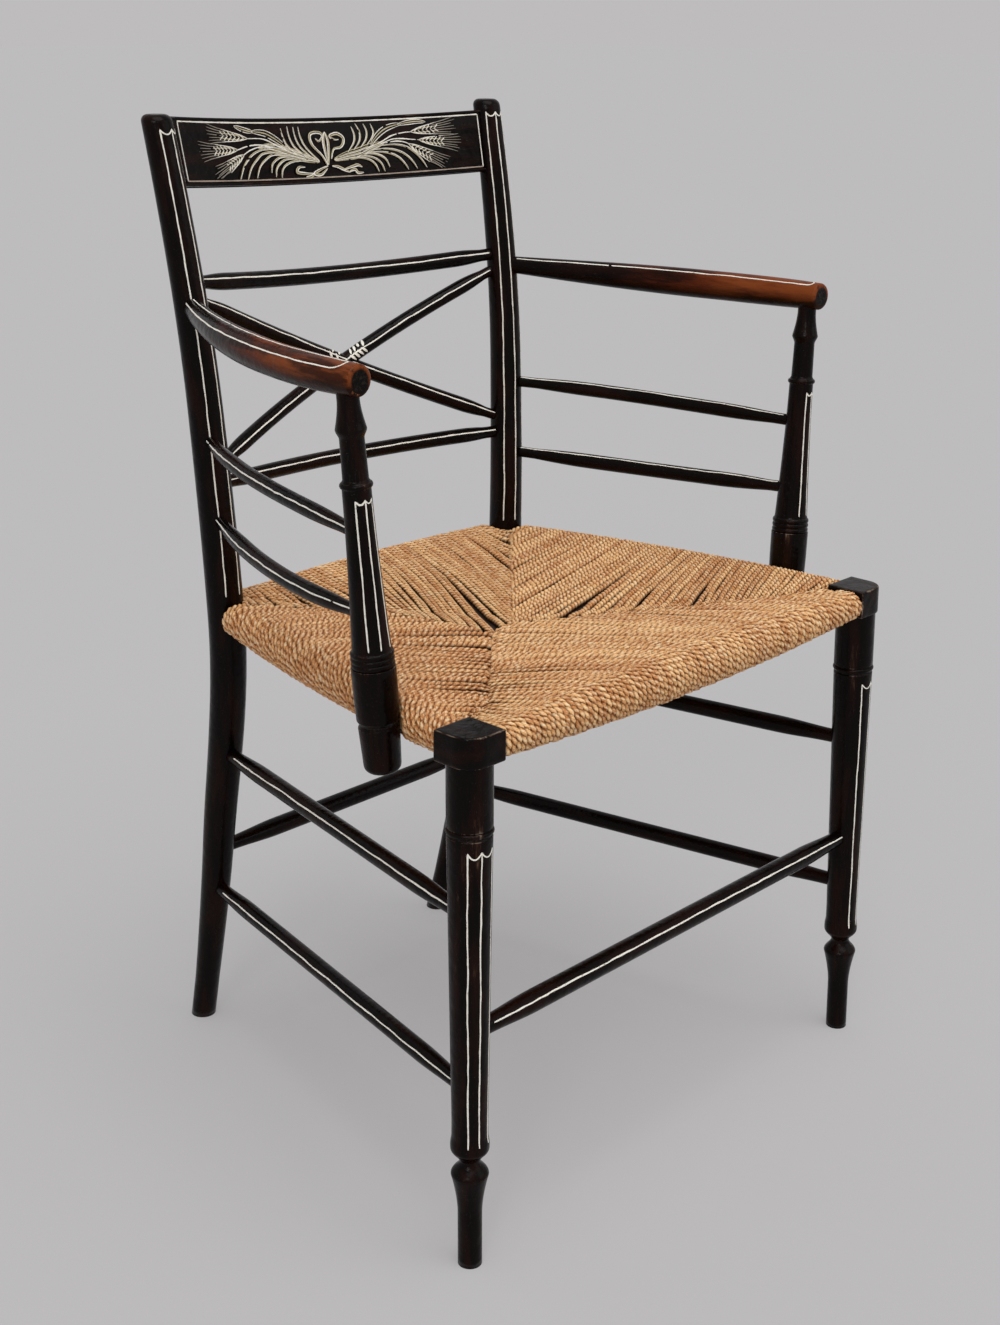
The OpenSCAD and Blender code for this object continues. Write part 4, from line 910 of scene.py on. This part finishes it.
def crest_painting():
    """The border lines, and the spray of ears, leaves and curls."""
    high = 23.5
    (a, b), (c, d) = ends = ((-171, -174.5), (175.5, 175.5))
    border = [(*on_crest(np.linspace(b, d, 90), high), 1.25)]
    border += [(*on_crest(np.linspace(*x, 12), np.linspace(-high, high, 12)), 1.0) for x in ends]
    ribbons("crest_border", border, gap_every=1500)
    low = [(*on_crest(np.linspace(a, c, 90), -high), 1.1)]
    ribbons("crest_border_low", low, gap_every=900, material=dulled)
    straws, creams, faint = [], [], []
    for path in STEM_MASS:
        straws += [brush(path, 1.1, aside, (0.7, 0.3)) for aside in (-4.2, -2.3, 0, 2.3, 4.2)]
        creams += [brush(path, 0.8, aside, (0.6, 0.3)) for aside in (-3.1, -1.0, 1.4)]
    for k, path in enumerate(LONG_LEAVES):
        half = 1.9 if k % 2 else 2.5
        straws += [brush(path, 1.3, 0.0)]
        creams += [brush(path, 0.9, aside) for aside in (-half, half)]
    creams += [brush(stem, 1.3, 0, (0.8, 0.8)) for _, _, stem in EARS]
    for tip, half, stem in EARS:
        for kind, more in zip((straws, creams, faint), ear(stem[0], tip, half)):
            kind += more
    for path in BLADES:
        straws.append(brush(path, 1.0, 0.5, (0.15, 0.6)))
        creams.append(brush(path, 0.9, -0.55, (0.3, 0.6)))
    for path in CURLS:
        straws.append(brush(path, 1.4, 0.8, tips=(0.7, 0.4)))
        creams.append(brush(path, 1.3, -0.9, tips=(0.8, 0.5)))
    ribbons("crest_awns", faint, 0.08, 90, 0.9, 0.0008, faded)
    ribbons("crest_spray_straw", straws, 0.10, 110, 0.9, 0.0008, straw)
    ribbons("crest_spray_cream", creams, 0.20, 110, 0.9, 0.0008)


crest_painting()


def cross_sprays():
    """Little leaf sprays on the rods where they cross, to either side in turn."""
    strokes = []
    for name, places in (("cross_rod_front", (-20, -16, -12, -8)),
                         ("cross_rod_back", (2, 4, 7, 9, 12, 14, 17, 20))):
        member = members[name]
        middle = (member.s[0] + member.s[-1]) / 2
        for k, at in enumerate(places):
            way = -1 if k % 2 else 1
            path = ((middle + at, 50), (middle + at + 2.5, 50 + 30 * way), (middle + at + 5, 50 + 62 * way))
            centre, out, _ = drawn(member, path, shaky=False)
            strokes.append((centre, out, 2.8 * np.sin(math.pi * np.linspace(0.14, 0.92, len(centre)))))
    return strokes


ribbons("cross_sprays", cross_sprays(), 0.2, 300, 0.8, 0.002)


# The rush seat

RUSH_Z, END_T, SAG, RISE, BULGE = 438.0, 20.0, 13.0, 6.0, 4.0
CENTRE, CENTRE_TOP, CENTRE_LOW = np.array([0, 194.1]), 424.0, 404.0
CORNERS = np.array([(-261.5, -10.5), (261.5, -10.5), (183.24, 388.9), (-183.24, 388.9)])
PITCH, CORD_R, CORD_SIDES = 5.1, 2.6, 10
CORD_ANGLES = np.arange(CORD_SIDES) * 2 * math.pi / CORD_SIDES
# Points along a cord on top, round the rail and below, and the points after which a new piece starts
TOP_POINTS, ROLL_POINTS, LOW_POINTS, PIECE_POINTS = 70, 26, 20, 75000
# The long gap beside the middle of the front, the spacing at which cords crowd, and room for the arm supports
LONG_GAP_X, CROWDED, SUPPORT_CLEAR = 42, 4.7, 16.9
# The lines where the four panels meet, from the corners in
APEX_L, APEX_R = (-47, 171), (-17, 182)
SEAMS = {"fl": ((-221, 29), (-187, 41), APEX_L), "fr": ((221, 29), (135, 71), APEX_R),
         "rr": ((168, 357), APEX_R), "rl": ((-168, 357), (-81, 272), APEX_L), "apex": (APEX_L, APEX_R)}
# Each panel: its rail, the axis that counts along it, its ends, and which seam its cords run to
PANELS = (
    ("front", 0, 0, (-223.9, 223.9),
     (((-224, -64, 22), (0, 0.534, 1), "fl"), ((22, 42), (0, 1), "apex"), ((42, 224), (1, 0), "fr"))),
    ("right", 1, 1, (27.5, 351.5),
     (((27, 129, 178, 215), (0, 0.44, 0.71, 1), "fr"), ((215, 262, 353), (1, 0.692, 0), "rr"))),
    ("back", 2, 0, (-156.5, 156.5),
     (((-157, -63, -7, 40), (0, 0.62, 0.74, 1), "rl"), ((40, 50), (0, 1), "apex"),
      ((50, 85, 157), (1, 0.694, 0), "rr"))),
    ("left", 3, 1, (27.5, 351.5),
     (((27, 115, 215, 245), (0, 0.324, 0.76, 1), "fl"), ((245, 353), (1, 0), "rl"))),
)


def rail_edge(k, w):
    """The seat's outline along one rail: plan points, heights of the roll's top and underside, way out."""
    a, b = CORNERS[k], CORNERS[(k + 1) % 4]
    out = unit((b - a)[::-1] * (1, -1))
    q = bow_share(w)
    return a + np.outer(w, b - a) + np.outer(q, out) * BULGE, RUSH_Z + RISE * q, RUSH_Z - END_T - SAG * q, out


def rush_rim():
    """The seat's rim by the angle round its middle: how far out it lies, and its upper and lower height."""
    rows = []
    for k in range(4):
        edge, top, low, out = rail_edge(k, np.linspace(0, 1, 60, endpoint=False))
        rows.append(np.column_stack([edge - out * ((top - low) / 2)[:, None] - CENTRE, top, low]))
    rows = np.concatenate(rows)
    angle = np.arctan2(rows[:, 1], rows[:, 0])
    order = np.argsort(angle)
    return angle[order], np.hypot(rows[:, 0], rows[:, 1])[order], rows[order, 2], rows[order, 3]


RIM = rush_rim()


def rush_heights(plan):
    """Heights of the seat's upper and lower surface at points of the plan."""
    d = plan - CENTRE
    angle = np.arctan2(d[..., 1], d[..., 0])
    reach, top, low = (np.interp(angle, RIM[0], v, period=2 * math.pi) for v in RIM[1:])
    share = np.clip(np.hypot(d[..., 0], d[..., 1]) / reach, 0, 1)
    return lerp(CENTRE_TOP, top, share), lerp(CENTRE_LOW, low, share)


def seam_point(stretches, at):
    """The point of the seam that the cord at this place runs to."""
    for coords, shares, seam in stretches:
        if at <= coords[-1]:
            break
    line = np.array(SEAMS[seam], float)
    length = lengths(line)
    return sampled(np.interp(at, coords, shares) * length[-1], length, line)


def clear_of_supports(points, out, room):
    """Moves points inwards that would lie in an arm support."""
    points = points.copy()
    for side in (LEFT, RIGHT):
        d = (points - swap(support_at(points[..., 2:]), side))[..., :2]
        inside = (d**2).sum(-1) - (SUPPORT_CLEAR + room) ** 2
        b = d @ out
        push = np.where(inside < 0, b + np.sqrt(np.maximum(b**2 - inside, 0)), 0)
        points[..., :2] -= push[..., None] * out
    return points


def lower_ends(k, at):
    """Where a panel's cords end below the seat: on straight lines from its corners to its middle."""
    (front_x, front_y), (back_x, back_y), middle = (224.0, 27), (157.0, 353), CENTRE[1]
    if k in (0, 2):
        x, y = (back_x, back_y) if k else (front_x, front_y)
        return np.stack([at, lerp(middle, y, np.abs(at) / x)], 1)
    x = np.where(at < middle, front_x * (middle - at) / (middle - front_y),
                 back_x * (at - middle) / (back_y - middle))
    return np.stack([x if k == 1 else -x, at], 1)


def drifting(s, wave, spread, rng):
    """A random curve around nothing along s."""
    knots = np.arange(0, s[-1] + 30, wave)
    return np.interp(s, knots, rng.normal(0, spread, len(knots)))


def add_cords(name, cords):
    """One piece of several cords: the points of each with their tone, painted shade and flow."""
    points, tones, painted_shades, flow = (np.concatenate(column) for column in zip(*cords))
    faces, first = [], 0
    for rings, *_ in cords:
        faces += tube_faces(len(rings), CORD_SIDES, first)
        first += len(rings) * CORD_SIDES
    floats = {"tone": tones, "painted_shade": painted_shades}
    add_piece(name, points, faces, cord_material, ("rush_seat",), floats, flow, 0)


def rush_panel(name, k, axis, ends, stretches, seed):
    """The cords of one panel: each runs from the seam over the top, round the rail and back below."""
    rng = np.random.default_rng(seed)
    count = round((ends[1] - ends[0]) / PITCH)
    at = np.linspace(ends[0] + PITCH / 2, ends[1] - PITCH / 2, count)
    # The left panel's cords are looser and thinner, and darker as painted shade on that side
    shaded_left_panel = k == 3
    loose = 2.0 if shaded_left_panel else 1.0
    gaps = (1 + 0.3 * rng.random(count - 1)
            + (rng.random(count - 1) < 0.16 * loose) * rng.uniform(0.4, 1.2, count - 1) * loose)
    if k == 0:
        gaps[int((LONG_GAP_X - ends[0]) / PITCH)] += 2.0
    inner = np.append(0, np.cumsum(gaps)) / gaps.sum() * (at[-1] - at[0]) + at[0]
    a, b = CORNERS[k], CORNERS[(k + 1) % 4]
    edge, top, low, out = rail_edge(k, (at - a[axis]) / (b - a)[axis])
    roll = (top - low) / 2
    core = edge - out * roll[:, None]
    seam = np.array([seam_point(stretches, q) for q in inner])
    # The front and back cords run a little over the ends of the side ones
    seam = seam + unit(seam - core) * (2.6 if axis == 0 else 0.0)

    t = np.linspace(0, 1, TOP_POINTS)[:, None]
    reach = np.linalg.norm(seam - core, axis=1)[:, None]
    bend = core + 0.4 * ((seam - core) * 0.6 - out * reach * 0.4)
    plan = (1 - t) ** 2 * seam[:, None] + 2 * t * (1 - t) * bend[:, None] + t**2 * core[:, None]
    way = unit(np.gradient(plan, axis=1))
    apart = plan[1:] - plan[:-1]
    apart = np.linalg.norm(apart - way[:-1] * (apart * way[:-1]).sum(-1, keepdims=True), axis=-1)
    apart = np.concatenate([apart[:1], apart, apart[-1:]])
    near = np.minimum(apart[1:], apart[:-1])
    thick = np.clip(near / 2 + 0.2, 1.95, 2.9 if shaded_left_panel else 3.2) * rng.uniform(0.94, 1.06, (count, 1))
    # Cords that crowd together near the seam ride over and under each other
    lift = np.clip(CROWDED - near, 0, 1.8) * np.where(np.arange(count) % 2, 0.55, -0.55)[:, None]
    waves = (np.sin(plan[..., 0] / 19 + seed) * np.sin(plan[..., 1] / 23 + 2 * seed)) * 0.7
    uneven = rng.normal(0, 0.35, (count, 1))
    fade = np.sin(math.pi * t[:, 0])
    base = rush_heights(plan)[0] - CORD_R + lift + waves * fade + uneven * fade

    turn = np.radians(np.linspace(84, -90, ROLL_POINTS))[:, None]
    ways_out = np.concatenate([np.tile(UP, (TOP_POINTS, 1)), np.cos(turn) * (*out, 0) + np.sin(turn) * UP,
                               np.tile(-UP, (LOW_POINTS, 1))])
    under, back = lower_ends(k, at), np.linspace(0.04, 1, LOW_POINTS)[:, None]
    cos, sin = np.cos(CORD_ANGLES), np.sin(CORD_ANGLES)
    cords, total, part = [], 0, 1
    for i in range(count):
        r = roll[i] - CORD_R
        arc = np.column_stack([core[i] + out * (r * np.cos(turn)), (top[i] + low[i]) / 2 + r * np.sin(turn)])
        below = lerp(core[i], under[i], back)
        below = np.column_stack([below, rush_heights(below)[1] + CORD_R])
        path = np.concatenate([np.column_stack([plan[i], base[i]]), arc, below])
        path = clear_of_supports(path, out, CORD_R)
        # Fine steps on top and round the rail, wide ones below
        length = lengths(path)
        s_low = length[TOP_POINTS + 20]
        s = np.concatenate([np.arange(0, s_low, 1.25), np.arange(s_low, length[-1], 5.0), length[-1:]])
        radius = np.interp(s, length, np.append(thick[i], np.full(ROLL_POINTS + LOW_POINTS, thick[i, -1])))
        path, outward = sampled(s, length, path), sampled(s, length, ways_out)
        drift = drifting(s, 14, 0.28, rng)
        sink = (1.0 if axis == 0 else 2.6) * np.clip(1 - s / 7, 0, 1) ** 1.5
        sink_low = 3.5 * np.clip(1 - (s[-1] - s) / 12, 0, 1) ** 1.5
        way = unit(np.gradient(path, s, axis=0))
        e0 = unit(outward - way * (outward * way).sum(1, keepdims=True))
        e1 = np.cross(way, e0)
        path = path + e1 * drift[:, None] - outward * (sink + sink_low)[:, None]
        # Two strands twisted round each other
        twist = -s * 2 * math.pi / rng.uniform(9.5, 11.5) + rng.uniform(0, 6.3) + 0.8 * wobble(s, 16, rng)
        spin = CORD_ANGLES - twist[:, None]
        lobe = 0.66 + 0.40 * np.abs(np.cos(spin)) ** 1.2
        lobe *= 1 + 0.04 * rng.normal(0, 1, lobe.shape)
        skin = radius[:, None] * lobe
        rings = path[:, None] + e0[:, None] * (cos * skin)[..., None] + e1[:, None] * (sin * skin)[..., None]
        # The left panel's cords get a darker tone as painted shade
        tone = rng.uniform(0.15, 0.85) - (0.35 if shaded_left_panel else 0) + drifting(s, 22, 0.16, rng)
        # Painted shade: darker where a cord sinks into a seam, on its side turned away from the outside, and
        # in the valleys of its twist
        seam_and_underside_shade = np.clip(sink / 4, 0, 1)[:, None] * 0.6 + np.clip(0.6 - cos, 0, 1) * 1.5
        painted_shade = np.clip(seam_and_underside_shade + 0.9 * np.clip(0.93 - lobe, 0, 1), 0, 0.97)
        along = np.broadcast_to((s + 700 * i + 60000 * k)[:, None], spin.shape)
        flow = np.stack([np.cos(spin) * 2.5, np.sin(spin) * 2.5, along], -1)
        cords.append((rings, np.repeat(tone, CORD_SIDES), painted_shade.ravel(), flow))
        total += len(s) * CORD_SIDES
        if i == count - 1 or total > PIECE_POINTS:
            add_cords(f"rush_{name}_{part}", cords)
            cords, total, part = [], 0, part + 1


def rush_core():
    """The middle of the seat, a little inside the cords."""
    inset, rings = 5.2, []
    angles = np.radians(np.linspace(90, -90, 9))
    for k in range(4):
        edge, top, low, out = rail_edge(k, np.linspace(0.075, 0.925, 40))
        roll = (top - low) / 2
        for c, zt, zb, r in zip(edge - out * roll[:, None], top, low, roll):
            r -= inset
            loop = [(*lerp(c, CENTRE, q), lerp(zt, CENTRE_TOP, q) - inset - 1.2)
                    for q in (0.96, 0.66, 0.33, 0.1)]
            loop += [(*(c + out * r * math.cos(a)), (zt + zb) / 2 + r * math.sin(a)) for a in angles]
            loop += [(*lerp(c, CENTRE, q), lerp(zb, CENTRE_LOW, q) + inset) for q in (0.1, 0.5, 0.96)]
            rings.append(clear_of_supports(np.array(loop), out, 0.8))
    n, m = len(rings), len(rings[0])
    i, j = np.repeat(np.arange(n), m - 1) * m, np.tile(np.arange(m - 1), n)
    k = (i + m) % (n * m)
    quads = np.stack([i + j, i + j + 1, k + j + 1, k + j], 1).tolist()
    first = np.arange(n) * m
    quads += [first.tolist(), (first + m - 1)[::-1].tolist()]
    # The core is near black, as painted shade seen through the gaps between the cords
    add_piece("rush_core", rings, quads, shaded_filling, ("rush_seat",))


for seed, panel in enumerate(PANELS):
    rush_panel(*panel, seed + 5)
rush_core()


# The view and the light


def placed(name, data, axes, place):
    """Adds a camera or lamp whose own x, y and z point along the given axes."""
    matrix = Matrix(np.array(axes).T.tolist()).to_4x4()
    matrix.translation = place
    thing = bpy.data.objects.new(name, data)
    thing.matrix_world = matrix
    bpy.context.collection.objects.link(thing)
    return thing


def camera():
    """The photograph's viewpoint, found from the chair's own lines."""
    yaw, pitch, roll = (math.radians(a) for a in (-46.47, -19.56, 0.41))
    forward = np.array([-math.sin(yaw) * math.cos(pitch), math.cos(yaw) * math.cos(pitch), math.sin(pitch)])
    right = np.array([math.cos(yaw), math.sin(yaw), 0])
    up = np.cross(right, forward)
    right, up = math.cos(roll) * right + math.sin(roll) * up, math.cos(roll) * up - math.sin(roll) * right
    data = bpy.data.cameras.new("camera")
    data.sensor_width = 36
    data.lens = 1876.56 / 1325 * 36
    data.clip_start, data.clip_end = 0.05, 100
    place = to_frame([-1118.52, -852.67, 926.06])
    bpy.context.scene.camera = placed("camera", data, (right, up, -forward), place)


def stage():
    """A wide grey floor that runs into a backdrop of the same grey."""
    grey, w = (0.515, 0.503, 0.508), 30.0
    mesh = bpy.data.meshes.new("floor")
    mesh.from_pydata([(-w, -w, 0), (w, -w, 0), (w, w, 0), (-w, w, 0)], [], [(0, 1, 2, 3)])
    floor = bpy.data.objects.new("floor", mesh)
    bpy.context.collection.objects.link(floor)
    n = new_material("floor_grey")
    own = n.surface(Base_Color=grey, Roughness=0.9, Specular_IOR_Level=0.1)
    glow = n.add("ShaderNodeEmission", {"Color": grey, "Strength": 1.0}).outputs[0]
    # Half of the floor's grey is its own, so that the chair's shadow stays as light as a studio's
    n.add("ShaderNodeOutputMaterial", {0: n.blend(n.math("MULTIPLY", n.seen(), 0.5), own, glow)})
    mesh.materials.append(n.owner)
    # The world lights the chair with a faint blue, and shows the floor's grey
    world = bpy.context.scene.world = bpy.data.worlds.new("studio")
    n = Nodes(world)
    light, back = (n.add("ShaderNodeBackground", {"Color": colour, "Strength": strength}).outputs[0]
                   for colour, strength in (((0.95, 0.975, 1.0), 0.46), (grey, 1.0)))
    n.add("ShaderNodeOutputWorld", {0: n.blend(n.seen(), light, back)})


def sun(name, direction, strength, angle):
    """A lamp far away that shines in one direction, its angle wide for soft shadows."""
    data = bpy.data.lights.new(name, "SUN")
    data.energy, data.angle = strength, math.radians(angle)
    back = -unit(direction)
    aside = unit(np.cross(UP, back))
    placed(name, data, (aside, np.cross(back, aside), back), (0, 0, 2))


bpy.context.scene.view_settings.view_transform = "Standard"
camera()
stage()
sun("key", (0.10, 0.30, -0.95), 1.50, 50)
sun("side", (0.75, 0.45, -0.45), 0.45, 14)
sun("front", (-0.45, 0.75, -0.45), 0.28, 40)
